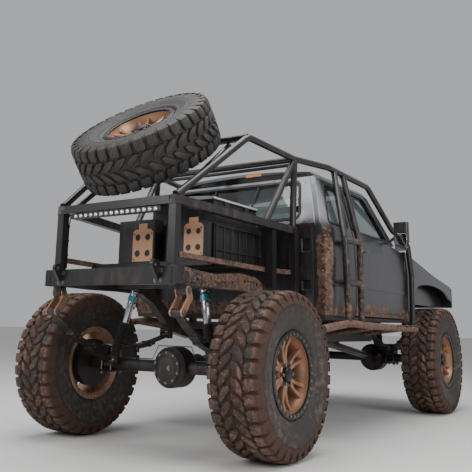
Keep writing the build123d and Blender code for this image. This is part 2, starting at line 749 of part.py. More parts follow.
def cab_pane(window):
    """Glass that fills a side window, in the middle of its frame."""
    start = Vector(*CAB_SIDE[4]) + inward * ((WALL_HIGH - GLASS) / 2 / WALL_HIGH)
    end = start + pillar_run
    thick = inward * (GLASS / WALL_HIGH)
    with BuildPart() as pane:
        with BuildSketch(Plane.XZ.offset(-(REAR_AXLE_Y + CAB_REAR))):
            with BuildLine():
                Polyline(*[(p.X, p.Y) for p in (start, end, end + thick, start + thick)], close=True)
            make_face()
        extrude(amount=CAB_REAR - COWL_STATION)
        with BuildSketch(Plane.YZ.offset(SIDE_NEAR)):
            with BuildLine():
                Polyline(*side(window), close=True)
            make_face()
            offset(amount=-SEAT_GAP)
        extrude(amount=FAR_X - SIDE_NEAR, mode=Mode.INTERSECT)
    return pane.part


with BuildPart() as quarter_right:
    add(cab_panel(QUARTER_OUTLINE, QUARTER_WINDOW, SIDE_NEAR, FAR_X))
    add(block(MOULDING_X, (CAB_REAR + MOULDING_END, DOOR_REAR - PANEL_GAP), MOULDING_Z))
pieces["quarter_panels"] = both_sides(quarter_right.part)

# Hinges: a knuckle on the moving piece turns on a pin between two ears on the fixed one
HINGE_STATION = DOOR_FRONT + COWL_GAP / 2
HINGE_EAR = KNUCKLE / 4
HINGE_LAP = 4.0
hinge_arm = HINGE_R - 1
# Low end of each door knuckle
DOOR_HINGES = (930.0, 1230.0)


def upright_pin(low, height, radius):
    return round_bar(at(HINGE_X, HINGE_STATION, low), at(HINGE_X, HINGE_STATION, low + height), radius)


def upright_knuckle(low):
    with BuildPart() as knuckle:
        add(upright_pin(low, KNUCKLE, HINGE_R))
        add(block((HINGE_X - hinge_arm, HINGE_X), (DOOR_FRONT - HINGE_LAP, HINGE_STATION), (low, low + KNUCKLE)))
        add(upright_pin(low, KNUCKLE, HINGE_PIN_R + PIN_CLEARANCE), mode=Mode.SUBTRACT)
    return knuckle.part


def upright_ears(low):
    with BuildPart() as ears:
        for start in (low - SEAT_GAP - HINGE_EAR, low + KNUCKLE + SEAT_GAP):
            add(upright_pin(start, HINGE_EAR, HINGE_R))
            arm_stations = (HINGE_STATION, COWL_STATION + HINGE_LAP)
            add(block((HINGE_X - hinge_arm, HINGE_X), arm_stations, (start, start + HINGE_EAR)))
        add(upright_pin(low - HINGE_EAR, KNUCKLE + 2 * HINGE_EAR, HINGE_PIN_R))
    return ears.part


def level_knuckle(x, centre):
    with BuildPart() as knuckle:
        with BuildSketch(Plane.YZ.offset(x - KNUCKLE / 2)):
            with Locations(centre):
                Circle(HINGE_R)
                Circle(HINGE_PIN_R + PIN_CLEARANCE, mode=Mode.SUBTRACT)
        extrude(amount=KNUCKLE)
    return knuckle.part


def level_ears(x, centre, arm_stations, arm_heights):
    with BuildPart() as ears:
        for start in (x - KNUCKLE / 2 - SEAT_GAP - HINGE_EAR, x + KNUCKLE / 2 + SEAT_GAP):
            with BuildSketch(Plane.YZ.offset(start)):
                with Locations(centre):
                    Circle(HINGE_R)
            extrude(amount=HINGE_EAR)
            add(block((start, start + HINGE_EAR), arm_stations, arm_heights))
        with BuildSketch(Plane.YZ.offset(x - KNUCKLE / 2 - HINGE_EAR)):
            with Locations(centre):
                Circle(HINGE_PIN_R)
        extrude(amount=KNUCKLE + 2 * HINGE_EAR)
    return ears.part


# Mirrors and handles are fixed to the doors
MIRROR_CENTRE = at(899.0, 1915.0, 1425.0)
MIRROR_SIZE = (122.0, 60.0, 165.0)
MIRROR_EDGE = 22.0
MIRROR_ARM = (at(765.0, 1915.0, 1415.0), at(845.0, 1915.0, 1470.0), 12.0)
HANDLE = ((804.0, 822.0), (1255.0, 1365.0), (1290.0, 1318.0))
HANDLE_HOLLOW = ((804.0, 816.0), (1270.0, 1350.0), (1290.0, 1306.0))
with BuildPart() as door_right:
    add(cab_panel(DOOR_OUTLINE, DOOR_WINDOW, SIDE_NEAR, FAR_X))
    with BuildSketch(Plane(MIRROR_CENTRE)):
        RectangleRounded(MIRROR_SIZE[0], MIRROR_SIZE[1], MIRROR_EDGE)
    extrude(amount=MIRROR_SIZE[2])
    add(round_bar(*MIRROR_ARM))
    add(block(*HANDLE))
    add(block(*HANDLE_HOLLOW), mode=Mode.SUBTRACT)
    add(block(MOULDING_X, (DOOR_REAR, DOOR_FRONT - MOULDING_END), MOULDING_Z))
    for low in DOOR_HINGES:
        add(upright_knuckle(low))
pieces["door_right"] = door_right.part
pieces["door_left"] = left_of(door_right.part)
door_glass = cab_pane(DOOR_WINDOW)
pieces["door_glass_right"] = door_glass
pieces["door_glass_left"] = left_of(door_glass)

# Roof, from the rear window's head to the windscreen's
WINDSCREEN = ((PILLAR_A[0][0] + PILLAR_A_WIDTH, BELT_Z), (PILLAR_A[1][0] + PILLAR_A_WIDTH, ROOF_SPLIT))
ROOF_OUTLINE = (
    (ROOF_REAR, ROOF_SPLIT),
    (ROOF_REAR, ROOF_CROWN + LAP),
    (WINDSCREEN[1][0] - 30.0, ROOF_CROWN + LAP),
    (WINDSCREEN[1][0], ROOF_SPLIT),
)
pieces["roof"] = cab_panel(ROOF_OUTLINE, None, -FAR_X, FAR_X)
PILLAR_BACK = 6.0
PILLAR_OUTLINE = (
    (PILLAR_A[0][0] + PANEL_GAP - PILLAR_BACK, BELT_Z + PANEL_GAP),
    (PILLAR_A[1][0] + PANEL_GAP, ROOF_SPLIT - SEAT_GAP),
    (WINDSCREEN[1][0], ROOF_SPLIT - SEAT_GAP),
    (WINDSCREEN[0][0] - PILLAR_BACK, BELT_Z + PANEL_GAP),
)
SCUTTLE_REAR = 1975.0
SCUTTLE_HALF = 712.0
FOOT_TOP = BELT_Z + 22.0
FOOT_STATIONS = (SCUTTLE_REAR + 8.0, SCUTTLE_REAR + 48.0)
FOOT_SPAN = (SCUTTLE_HALF - 60.0, SCUTTLE_HALF)
FOOT_WEB = (SCUTTLE_HALF - 10.0, SCUTTLE_HALF + 55.0)
with BuildPart() as pillar_right:
    add(cab_panel(PILLAR_OUTLINE, None, SIDE_NEAR, FAR_X))
    add(block(FOOT_SPAN, FOOT_STATIONS, (BELT_Z, FOOT_TOP)))
    add(block(FOOT_WEB, FOOT_STATIONS, (BELT_Z + PANEL_GAP, FOOT_TOP)))
pieces["windscreen_pillars"] = both_sides(pillar_right.part)

# Back wall: upright below the belt, slanting with the rear window above it
BACK_WALL = (
    (CAB_REAR + 20.0, FLOOR_TOP),
    (CAB_REAR, PANEL_FOOT),
    BACK_GLASS[0],
    BACK_GLASS[1],
    (BACK_GLASS[1][0] + WALL_HIGH, BACK_GLASS[1][1]),
    (CAB_REAR + WALL_HIGH, 1410.0),
    (CAB_REAR + WALL_HIGH, PANEL_FOOT),
    (CAB_REAR + WALL_HIGH + 10.0, FLOOR_TOP),
)
# Columns: half width, height
REAR_WINDOW = ((610.0, 1470.0), (530.0, 1765.0))
VENT_DEPTH = 12.0
# Columns: x, height, width, depth of each recess in the wall's corners
BACK_VENTS = ((672.0, 1275.0, 60.0, 86.0), (672.0, 1008.0, 60.0, 60.0))
back_plane = Plane.XZ.offset(-(REAR_AXLE_Y + CAB_REAR))
back_room = WINDSCREEN[1][0] - CAB_REAR - PILLAR_A_WIDTH


def window_room(inset):
    """What the rear window fills, from the back wall forward."""
    (low_half, low), (high_half, high) = REAR_WINDOW
    right = [(low_half - inset, low + inset), (high_half - inset, high - inset)]
    with BuildPart() as room:
        with BuildSketch(back_plane):
            with BuildLine():
                Polyline(*right, *[(-x, z) for x, z in reversed(right)], close=True)
            make_face()
        extrude(amount=-back_room)
    return room.part


with BuildPart() as cab_back:
    add(prism_x(BACK_WALL, -FAR_X, FAR_X))
    add(cab_inner, mode=Mode.INTERSECT)
    add(window_room(0), mode=Mode.SUBTRACT)
    with BuildSketch(back_plane):
        for x, z, width, depth in BACK_VENTS:
            with Locations((-x, z), (x, z)):
                Rectangle(width, depth)
    extrude(amount=-VENT_DEPTH, mode=Mode.SUBTRACT)
pieces["cab_back"] = cab_back.part

glass_inset = (WALL_HIGH - GLASS) / 2
SCREEN_INSET = 12.0
with BuildPart() as rear_glass:
    rear_line = [(s + glass_inset, z) for s, z in BACK_GLASS]
    add(prism_x(rear_line + [(s + GLASS, z) for s, z in reversed(rear_line)], -FAR_X, FAR_X))
    add(window_room(SEAT_GAP), mode=Mode.INTERSECT)
with BuildPart() as windscreen:
    low, high = WINDSCREEN
    screen_line = [(low[0] - SCREEN_INSET, low[1] + SEAT_GAP), (high[0] - SCREEN_INSET, high[1] - SEAT_GAP)]
    add(prism_x(screen_line + [(s - GLASS, z) for s, z in reversed(screen_line)], -FAR_X, FAR_X))
    add(cab_inner, mode=Mode.INTERSECT)
with BuildPart() as cab_glass:
    add(windscreen.part)
    add(rear_glass.part)
    add(both_sides(cab_pane(QUARTER_WINDOW)))
pieces["cab_glass"] = cab_glass.part

# Floor with its sills, and the firewall with the scuttle on top
TUNNEL_HALF = 125.0
TUNNEL_TOP = 880.0
TUNNEL_REAR = 1350.0
FLOOR_HALF = CAB_SIDE[0][0] - 3.0
with BuildPart() as cab_floor:
    add(block((-FLOOR_HALF, FLOOR_HALF), (CAB_REAR + 20.0, COWL_STATION), (FLOOR_BOTTOM, FLOOR_TOP)))
    add(block((-TUNNEL_HALF, TUNNEL_HALF), (TUNNEL_REAR, COWL_STATION), (FLOOR_TOP, TUNNEL_TOP)))
pieces["cab_floor"] = cab_floor.part
MOUNT_R = 32.0
MOUNT_SIDES = 12
MOUNT_STATIONS = (920.0, 1500.0, 2120.0)
with BuildPart() as body_mounts:
    with BuildSketch(Plane.XY.offset(RAIL_LEVEL_TOP + SEAT_GAP)):
        for station in MOUNT_STATIONS:
            for face in (-1, 1):
                with Locations((face * (RAIL_OUTER - RAIL_WIDTH / 2), REAR_AXLE_Y + station)):
                    RegularPolygon(MOUNT_R, MOUNT_SIDES)
    extrude(amount=FLOOR_BOTTOM - RAIL_LEVEL_TOP - 2 * SEAT_GAP)
pieces["body_mounts"] = body_mounts.part
FENDER_INNER = FENDER_X - SKIN
HOOD_REAR = COWL_STATION + FIREWALL + 12.0
HOOD_REAR_TOP = 1396.0
HOOD_HINGE_X = 560.0
HOOD_HINGE = side([(HOOD_REAR, HOOD_REAR_TOP + 2)])[0]
HOOD_EAR_LOW = 1370.0
COWL_SIDE_TOP = 1384.0
firewall_front = COWL_STATION + FIREWALL
scuttle_top = BELT_Z - SEAT_GAP
FIREWALL_OUTLINE = (
    (COWL_STATION, FLOOR_BOTTOM),
    (firewall_front, FLOOR_BOTTOM),
    (firewall_front, 1378.0),
    (WINDSCREEN[0][0] + 14.0, scuttle_top),
    (SCUTTLE_REAR, scuttle_top),
    (SCUTTLE_REAR, 1376.0),
    (COWL_STATION, 1356.0),
)
SCUTTLE_CUT = ((1800.0, COWL_STATION), (1340.0, BELT_Z + 1))
with BuildPart() as firewall:
    add(prism_x(FIREWALL_OUTLINE, -FENDER_INNER + SEAT_GAP, FENDER_INNER - SEAT_GAP))
    for face in (-1, 1):
        add(block(sorted((face * SCUTTLE_HALF, face * FAR_X)), *SCUTTLE_CUT), mode=Mode.SUBTRACT)
    for x in (-HOOD_HINGE_X, HOOD_HINGE_X):
        add(level_ears(x, HOOD_HINGE, (firewall_front - 8.0, HOOD_REAR), (HOOD_EAR_LOW, HOOD_HINGE[1])))
pieces["firewall"] = firewall.part

# Front fenders: cut high over the tyre; hood, grille and lamps between them
FENDER_TOP = ((COWL_STATION, COWL_SIDE_TOP), (3036.0, 1236.0), (NOSE, 1160.0))
FENDER_FOOT_Z = 800.0
# Each arc by three places, as (station, height)
ARCH_ARCS = (
    ((3430.0, 1090.0), (3060.0, 1138.0), (2620.0, 1122.0)),
    ((2620.0, 1122.0), (2440.0, 1040.0), (2350.0, 900.0)),
)
ARCH_FRONT = (NOSE, 1010.0)
ARCH_FOOT = (2322.0, FENDER_FOOT_Z)
APRON_DROP = 6.0
APRON_LOW = 960.0
apron_start = firewall_front + SEAT_GAP
with BuildPart() as fender_right:
    with BuildSketch(Plane.YZ.offset(FENDER_INNER)):
        with BuildLine():
            Polyline(*side(FENDER_TOP + (ARCH_FRONT, ARCH_ARCS[0][0])))
            for arc in ARCH_ARCS:
                ThreePointArc(*side(arc))
            Polyline(*side((ARCH_ARCS[-1][-1], ARCH_FOOT, (COWL_STATION, FENDER_FOOT_Z), FENDER_TOP[0])))
        make_face()
    extrude(amount=SKIN)
    strip_top = ((apron_start, COWL_SIDE_TOP),) + FENDER_TOP[1:]
    strip_low = tuple((s, z - SKIN) for s, z in reversed(strip_top))
    add(prism_x(strip_top + strip_low, HOOD_HALF + PANEL_GAP, FENDER_INNER))
    apron_top = tuple((s, z - APRON_DROP) for s, z in strip_top)
    apron = apron_top + ((NOSE, APRON_LOW), (apron_start, APRON_LOW))
    add(prism_x(apron, HOOD_HALF + PANEL_GAP, HOOD_HALF + PANEL_GAP + SKIN))
    for low in DOOR_HINGES:
        add(upright_ears(low))
pieces["front_fenders"] = both_sides(fender_right.part)

HOOD_TOP = ((HOOD_REAR, HOOD_REAR_TOP), (3036.0, 1268.0), (NOSE + 18.0, 1186.0))


def hood_panel(drop):
    """The hood's slab, with its long upper edges cut back as a crowned one's are."""
    under = [(s, z - HOOD_THICK - drop) for s, z in reversed(HOOD_TOP)]
    with BuildPart() as slab:
        add(prism_x(list(HOOD_TOP) + under, -HOOD_HALF, HOOD_HALF))
        for end in (0, -1):
            cheek = slab.faces().sort_by(Axis.X)[end]
            upper = cheek.edges().sort_by(Axis.Z)[-2:]
            chamfer(upper, length=2 * HOOD_EDGE, length2=HOOD_EDGE, reference=None)
    return slab.part


with BuildPart() as hood:
    add(hood_panel(0))
    notch_end = HOOD_REAR + HINGE_R + LAP
    notch_half = KNUCKLE / 2 + HINGE_EAR + LAP
    web_top = HOOD_HINGE[1] - HINGE_PIN_R - 2 * PIN_CLEARANCE
    for x in (-HOOD_HINGE_X, HOOD_HINGE_X):
        notch_heights = (HOOD_EAR_LOW - BED_TUBE, HOOD_REAR_TOP + 1)
        add(block((x - notch_half, x + notch_half), (HOOD_REAR - 1, notch_end), notch_heights), mode=Mode.SUBTRACT)
        web_heights = (HOOD_REAR_TOP - HINGE_R, web_top)
        add(block((x - KNUCKLE / 2, x + KNUCKLE / 2), (HOOD_REAR, notch_end), web_heights))
        add(level_knuckle(x, HOOD_HINGE))
pieces["hood"] = hood.part

# Grille with a row of upright slots, two rubber stops for the hood and the headlamps in front
GRILLE_HEIGHTS = (960.0, 1150.0)
GRILLE_MIDDLE = 1055.0
SLOT_COUNT = 8
SLOT_PITCH = 110.0
SLOT_SIZE = (80.0, 120.0, 12.0)
SLOT_DEPTH = 18.0
STOP_X = 400.0
STOP_SIZE = (40.0, 14.0, 30.0)
grille_front = NOSE + GRILLE_DEPTH
with BuildPart() as grille:
    add(block((-FENDER_X, FENDER_X), (NOSE + SEAT_GAP, grille_front), GRILLE_HEIGHTS))
    with BuildSketch(Plane.XZ.offset(-(REAR_AXLE_Y + grille_front))):
        with Locations((0, GRILLE_MIDDLE)):
            with GridLocations(SLOT_PITCH, 0, SLOT_COUNT, 1):
                RectangleRounded(*SLOT_SIZE)
    extrude(amount=SLOT_DEPTH, mode=Mode.SUBTRACT)
    with BuildSketch(Plane.XY.offset(GRILLE_HEIGHTS[1])):
        with Locations((-STOP_X, REAR_AXLE_Y + NOSE + 10), (STOP_X, REAR_AXLE_Y + NOSE + 10)):
            Rectangle(STOP_SIZE[0], STOP_SIZE[1])
    extrude(amount=STOP_SIZE[2])
    add(hood_panel(SEAT_GAP), mode=Mode.SUBTRACT)
pieces["grille"] = grille.part

# Lamps: headlamps, the bar of reflectors under the tail bar and the roof marker
LAMP_X = 620.0
LAMP_SIZE = (170.0, 110.0, 14.0)
LAMP_DEPTH = 20.0
LIGHT_BAR = ((-350.0, 350.0), (BED_TAIL - 20.0, BED_TAIL + 20.0), (1359.0, 1389.0))
REFLECTOR_COUNT = 16
REFLECTOR_PITCH = 42.0
REFLECTOR_R = 11.0
REFLECTOR_SIDES = 12
REFLECTOR_DEPTH = 10.0
BRACKET_X = 300.0
BRACKET_HALF = 15.0
ROOF_MARKER = ((63.0, 196.0), (ROOF_REAR - 20.0, ROOF_REAR - SEAT_GAP), (1842.0, 1868.0))
with BuildPart() as lamps:
    with BuildSketch(Plane.XZ.offset(-(REAR_AXLE_Y + grille_front + SEAT_GAP))):
        with Locations((-LAMP_X, GRILLE_MIDDLE), (LAMP_X, GRILLE_MIDDLE)):
            RectangleRounded(*LAMP_SIZE)
    extrude(amount=-LAMP_DEPTH)
    add(block(*LIGHT_BAR))
    with BuildSketch(Plane.XZ.offset(-(REAR_AXLE_Y + LIGHT_BAR[1][0]))):
        with Locations((0, sum(LIGHT_BAR[2]) / 2)):
            with GridLocations(REFLECTOR_PITCH, 0, REFLECTOR_COUNT, 1):
                RegularPolygon(REFLECTOR_R, REFLECTOR_SIDES)
    extrude(amount=-REFLECTOR_DEPTH, mode=Mode.SUBTRACT)
    for x in (-BRACKET_X, BRACKET_X):
        bracket_stations = (BED_TAIL - BRACKET_HALF / 2, BED_TAIL + BRACKET_HALF / 2)
        add(block((x - BRACKET_HALF, x + BRACKET_HALF), bracket_stations, (LIGHT_BAR[2][1], TAIL_BAR[0] - SEAT_GAP)))
    add(block(*ROOF_MARKER))
pieces["lamps"] = lamps.part

# Engine and gearbox as one plain block at its real place
GEARBOX_REAR = 1500.0
# Columns: x span, station span, height span
ENGINE_BLOCKS = (
    ((-250.0, 250.0), (2400.0, 3080.0), (765.0, 1180.0)),
    ((-125.0, 125.0), (GEARBOX_REAR, 2400.0), (GEARBOX_LOW, 764.0)),
    ((-125.0, 250.0), (GEARBOX_REAR, GEARBOX_MEMBER[1]), (GEARBOX_LOW, 700.0)),
    ((-125.0, 125.0), (2300.0, 2450.0), (700.0, 780.0)),
)
with BuildPart() as engine:
    for spans in ENGINE_BLOCKS:
        add(block(*spans))
pieces["engine"] = engine.part

# Axles: tube, differential housing with its pinion nose, spring pads; the front one ends in yokes
DIFF_R = 124.0
DIFF_HALF = 85.0
DIFF_EDGE = 26.0
PINION_R = 58.0
PINION_RISE = 20.0
REAR_PINION = 250.0
FRONT_PINION = -230.0
AXLE_R = 37.5
PAD_HALF = (45.0, 60.0)
SHOCK_FOOT_HALF = (36.0, 34.0)
SHOCK_FOOT_HEIGHTS = (AXLE_Z - 8.0, AXLE_Z + 10.0)
REAR_DIFF_X = 60.0
FRONT_DIFF_X = 190.0
DRUM_R = 150.0
DRUM_SPAN = (WHEEL_X - 112.0, WHEEL_X - 58.0)
SPINDLE_END = WHEEL_X + HUB_BORE_END - SEAT_GAP
YOKE_X = 590.0
YOKE_THICK = 22.0
YOKE_HALF = 45.0
YOKE_EYE_R = 34.0
ARM_IN = 80.0
ARM_OUT = 104.0
# Columns: x, distance ahead of the axle
REAR_SHOCK_FOOT = (397.0, -84.0)
FRONT_SHOCK_FOOT = (290.0, -123.0)


def pinion(station, diff_x, nose, extra):
    reach = nose + extra if nose > 0 else nose - extra
    return round_bar(at(diff_x, station, AXLE_Z), at(diff_x, station + reach, AXLE_Z + PINION_RISE), PINION_R + extra)


def axle(station, half, diff_x, nose, pad_x, shock):
    with BuildPart() as housing:
        with BuildSketch(Plane.XZ.offset(-(REAR_AXLE_Y + station - DIFF_HALF))):
            with Locations((diff_x, AXLE_Z)):
                Circle(DIFF_R)
        extrude(amount=-2 * DIFF_HALF)
        chamfer(housing.edges().filter_by(GeomType.CIRCLE), DIFF_EDGE)
        add(round_bar(at(-half, station, AXLE_Z), at(half, station, AXLE_Z), AXLE_R))
        add(pinion(station, diff_x, nose, 0))
        for x in (-pad_x, pad_x):
            pad_heights = (AXLE_Z + AXLE_R / 2, PAD_TOP)
            add(block((x - PAD_HALF[0], x + PAD_HALF[0]), (station - PAD_HALF[1], station + PAD_HALF[1]), pad_heights))
        for x in (-shock[0], shock[0]):
            foot_stations = (station + shock[1] - SHOCK_FOOT_HALF[1], station)
            add(block((x - SHOCK_FOOT_HALF[0], x + SHOCK_FOOT_HALF[0]), foot_stations, SHOCK_FOOT_HEIGHTS))
    return housing.part


with BuildPart() as rear_axle:
    add(axle(0.0, WHEEL_X - 100.0, REAR_DIFF_X, REAR_PINION, REAR_SPRING_X, REAR_SHOCK_FOOT))
    for face in (-1, 1):
        drum_in, drum_out = (at(face * x, 0, AXLE_Z) for x in DRUM_SPAN)
        add(round_bar(drum_in, drum_out, DRUM_R))
        add(round_bar(drum_out, at(face * SPINDLE_END, 0, AXLE_Z), SPINDLE_R))
with BuildPart() as front_axle:
    add(axle(FRONT_STATION, YOKE_X, FRONT_DIFF_X, FRONT_PINION, FRONT_SPRING_X, FRONT_SHOCK_FOOT))
    for face in (-1, 1):
        yoke_x = sorted((face * (YOKE_X - YOKE_THICK), face * YOKE_X))
        yoke_stations = (FRONT_STATION - YOKE_HALF, FRONT_STATION + YOKE_HALF)
        add(block(yoke_x, yoke_stations, (AXLE_Z - ARM_OUT, AXLE_Z + ARM_OUT)))
        for way in (-1, 1):
            heights = sorted((AXLE_Z + way * ARM_IN, AXLE_Z + way * ARM_OUT))
            eye_stations = (FRONT_STATION - YOKE_EYE_R, FRONT_STATION + YOKE_EYE_R)
            add(block(sorted((face * YOKE_X, face * KINGPIN_X)), eye_stations, heights))
            with BuildSketch(Plane.XY.offset(heights[0])):
                with Locations((face * KINGPIN_X, REAR_AXLE_Y + FRONT_STATION)):
                    Circle(YOKE_EYE_R)
            extrude(amount=ARM_OUT - ARM_IN)
        with BuildSketch(Plane.XY.offset(AXLE_Z - ARM_OUT)):
            with Locations((face * KINGPIN_X, REAR_AXLE_Y + FRONT_STATION)):
                Circle(KINGPIN_R + PIN_CLEARANCE)
        extrude(amount=2 * ARM_OUT, mode=Mode.SUBTRACT)
with BuildPart() as axles:
    add(rear_axle.part)
    add(front_axle.part)
pieces["axles"] = axles.part

# Knuckles: an upright body on the kingpin, with the steering arm, the drum and the wheel's spindle
ARM_TOP = AXLE_Z - 22.0
ARM_THICK = 16.0
ARM_HALF = 20.0
KNUCKLE_GAP = 6.0
KNUCKLE_SPAN = (KINGPIN_X - 24.0, KINGPIN_X + 34.0)
KNUCKLE_HALF = 40.0
DRUM_LIP = 12.0
arm_heights = (ARM_TOP - ARM_THICK, ARM_TOP)
with BuildPart() as knuckle_right:
    knuckle_stations = (FRONT_STATION - KNUCKLE_HALF, FRONT_STATION + KNUCKLE_HALF)
    add(block(KNUCKLE_SPAN, knuckle_stations, (AXLE_Z - ARM_IN + KNUCKLE_GAP, AXLE_Z + ARM_IN - KNUCKLE_GAP)))
    with BuildSketch(Plane.XY.offset(AXLE_Z - ARM_OUT)):
        with Locations((KINGPIN_X, REAR_AXLE_Y + FRONT_STATION)):
            Circle(KINGPIN_R)
    extrude(amount=2 * ARM_OUT)
    arm_stations = (FRONT_STATION + KNUCKLE_HALF - LAP, FRONT_STATION + ARM_REACH)
    add(block((KINGPIN_X - ARM_HALF, KINGPIN_X + ARM_HALF), arm_stations, arm_heights))
    with BuildSketch(Plane.XY.offset(arm_heights[0])):
        with Locations((KINGPIN_X, REAR_AXLE_Y + FRONT_STATION + ARM_REACH)):
            Circle(ARM_HALF)
    extrude(amount=ARM_THICK)
    drum_start = at(KNUCKLE_SPAN[1], FRONT_STATION, AXLE_Z)
    add(round_bar(drum_start, at(SPINDLE_END, FRONT_STATION, AXLE_Z), SPINDLE_R))
    add(round_bar(drum_start, at(DRUM_SPAN[1] + DRUM_LIP, FRONT_STATION, AXLE_Z), DRUM_R))
pieces["knuckle_right"] = knuckle_right.part
pieces["knuckle_left"] = left_of(knuckle_right.part)

ROD_GAP = 0.8
with BuildPart() as tie_rod:
    rod_z = ARM_TOP + ROD_GAP + TIE_ROD_R
    rod_station = FRONT_STATION + ARM_REACH
    add(round_bar(at(-KINGPIN_X, rod_station, rod_z), at(KINGPIN_X, rod_station, rod_z), TIE_ROD_R))
pieces["tie_rod"] = tie_rod.part

# Leaf springs: a main leaf that ends in eyes, over two shorter ones
LEAF = SPRING_PACK / 3
# Columns: share of the way to the eye, height over the lowest leaf
LEAVES = ((1.0, 2 * LEAF), (0.72, LEAF), (0.42, 0.0))


def leaf_arc(run, rise, along):
    """Height over the middle of a leaf that bends evenly up to its eye."""
    radius = (run * run + rise * rise) / (2 * abs(rise))
    return radius - sqrt(radius * radius - along * along)


def half_leaf(spring_x, axle_station, eye, share, low):
    """Half of one leaf, from the axle out to a share of the way to the eye."""
    run, rise = eye[0], eye[1] - (PAD_TOP + SPRING_PACK - LEAF / 2)
    far, middle = run * share, run * share / 2
    base = PAD_TOP + SEAT_GAP + low
    points = [(0.0, base), (middle, base + leaf_arc(run, rise, middle)), (far, base + leaf_arc(run, rise, far))]
    with BuildPart() as half:
        with BuildSketch(Plane.YZ.offset(spring_x - SPRING_WIDTH / 2)):
            with BuildLine():
                under = side([(axle_station + s, z) for s, z in points])
                over = side([(axle_station + s, z + LEAF) for s, z in points])
                ThreePointArc(*under)
                Line(under[2], over[2])
                ThreePointArc(*reversed(over))
                Line(over[0], under[0])
            make_face()
        extrude(amount=SPRING_WIDTH)
    return half.part


with BuildPart() as springs_right:
    for spring_x, axle_station, foot, _, _, fixed_eye in SPRINGS:
        for eye in (foot, fixed_eye):
            for share, low in LEAVES:
                add(half_leaf(spring_x, axle_station, eye, share, low))
            for radius, mode in ((EYE_R, Mode.ADD), (PIN_R + PIN_CLEARANCE, Mode.SUBTRACT)):
                with BuildSketch(Plane.YZ.offset(spring_x - SPRING_WIDTH / 2)):
                    with Locations(side([(axle_station + eye[0], eye[1])])[0]):
                        Circle(radius)
                extrude(amount=SPRING_WIDTH, mode=mode)
pieces["leaf_springs"] = both_sides(springs_right.part)

# Shackles: bent plates in pairs, with a pin at each end
PLATE_R = LINK_END_R - 2.0
with BuildPart() as shackles_right:
    for spring_x, axle_station, *joints, _ in SPRINGS:
        half = SPRING_WIDTH / 2 + 2 * SEAT_GAP
        foot, elbow, head = side([(axle_station + ahead, up) for ahead, up in joints])
        for start in (spring_x - half - EAR, spring_x + half):
            for ends in ((foot, elbow), (elbow, head)):
                with BuildSketch(Plane.YZ.offset(start)):
                    with Locations(*ends):
                        Circle(PLATE_R)
                    make_hull()
                extrude(amount=EAR)
        with BuildSketch(Plane.YZ.offset(spring_x - half - EAR)):
            with Locations(foot, head):
                Circle(PIN_R)
        extrude(amount=2 * (half + EAR))
pieces["shackles"] = both_sides(shackles_right.part)

# Shock absorbers: a slim tube with a collar above, a fatter boot below
SHOCK_R = 27.0
COLLAR_R = 31.0
BOOT_R = 35.0
COLLAR_SHARES = (0.12, 0.19)
BOOT_SHARE = 0.5
# Columns: top, bottom
SHOCKS = (
    (at(274.0, -14.0, 972.0), at(*REAR_SHOCK_FOOT, AXLE_Z)),
    (at(290.0, FRONT_STATION - 120.0, 880.0), at(290.0, FRONT_STATION + FRONT_SHOCK_FOOT[1], AXLE_Z)),
)
# Columns: station span, height span of what the ends must not reach into
SHOCK_ENDS = (
    ((-100.0, 70.0), (SHOCK_CROSSMEMBER[2][0] - SEAT_GAP, 1020.0)),
    ((FRONT_STATION - 200.0, FRONT_STATION), (SHOCK_SHELF[2][0] - SEAT_GAP, 920.0)),
    ((-200.0, FRONT_STATION), (400.0, SHOCK_FOOT_HEIGHTS[1] + SEAT_GAP)),
)
with BuildPart() as shocks_right:
    for top, bottom in SHOCKS:
        run = Vector(*bottom) - Vector(*top)
        collar_top, collar_low, boot_top = (tuple(Vector(*top) + run * share) for share in (*COLLAR_SHARES, BOOT_SHARE))
        add(round_bar(top, bottom, SHOCK_R))
        add(round_bar(collar_top, collar_low, COLLAR_R))
        add(round_bar(boot_top, bottom, BOOT_R))
    for stations, heights in SHOCK_ENDS:
        add(block((0.0, rail_inner), stations, heights), mode=Mode.SUBTRACT)
pieces["shock_absorbers"] = both_sides(shocks_right.part)

# Drive shafts, from the transfer box to each pinion
SHAFT_RISE = 18.0
SHAFT_BOX_Z = 650.0
# Columns: pinion end, box end, radius
SHAFTS = (
    (at(REAR_DIFF_X, REAR_PINION - 20.0, AXLE_Z + SHAFT_RISE), at(0.0, GEARBOX_REAR + 10.0, SHAFT_BOX_Z), 36.0),
    (
        at(FRONT_DIFF_X, FRONT_STATION + FRONT_PINION + 15.0, AXLE_Z + SHAFT_RISE),
        at(FRONT_DIFF_X, GEARBOX_MEMBER[1] - 10.0, SHAFT_BOX_Z),
        32.0,
    ),
)
box_room = ((-200.0, 300.0), (GEARBOX_REAR - SEAT_GAP, GEARBOX_MEMBER[1] + SEAT_GAP), (500.0, 800.0))
with BuildPart() as drive_shafts:
    for pinion_end, box_end, radius in SHAFTS:
        add(round_bar(pinion_end, box_end, radius))
    add(block(*box_room), mode=Mode.SUBTRACT)
    add(pinion(0.0, REAR_DIFF_X, REAR_PINION, SEAT_GAP), mode=Mode.SUBTRACT)
    add(pinion(FRONT_STATION, FRONT_DIFF_X, FRONT_PINION, SEAT_GAP), mode=Mode.SUBTRACT)
pieces["drive_shafts"] = drive_shafts.part

# Load gear bolted in the bed: two boxes with pierced plates, and a ribbed chest with a lid
BOX_BASE = BED_FLOOR_TOP + SEAT_GAP
BOX_STATIONS = (-245.0, -160.0)
CHEST_X = (-100.0, 430.0)
CHEST_STATIONS = (-140.0, 427.0)
CHEST_STEP = 1350.0
CHEST_TOP = 1496.0
CHEST_UPPER_X = (-60.0, 398.0)
CHEST_UPPER_STATIONS = (-100.0, 420.0)
RIB_OUT = 9.0
RIB_WIDTH = 16.0
RIB_COUNT = 7
RIB_PITCH = 88.0
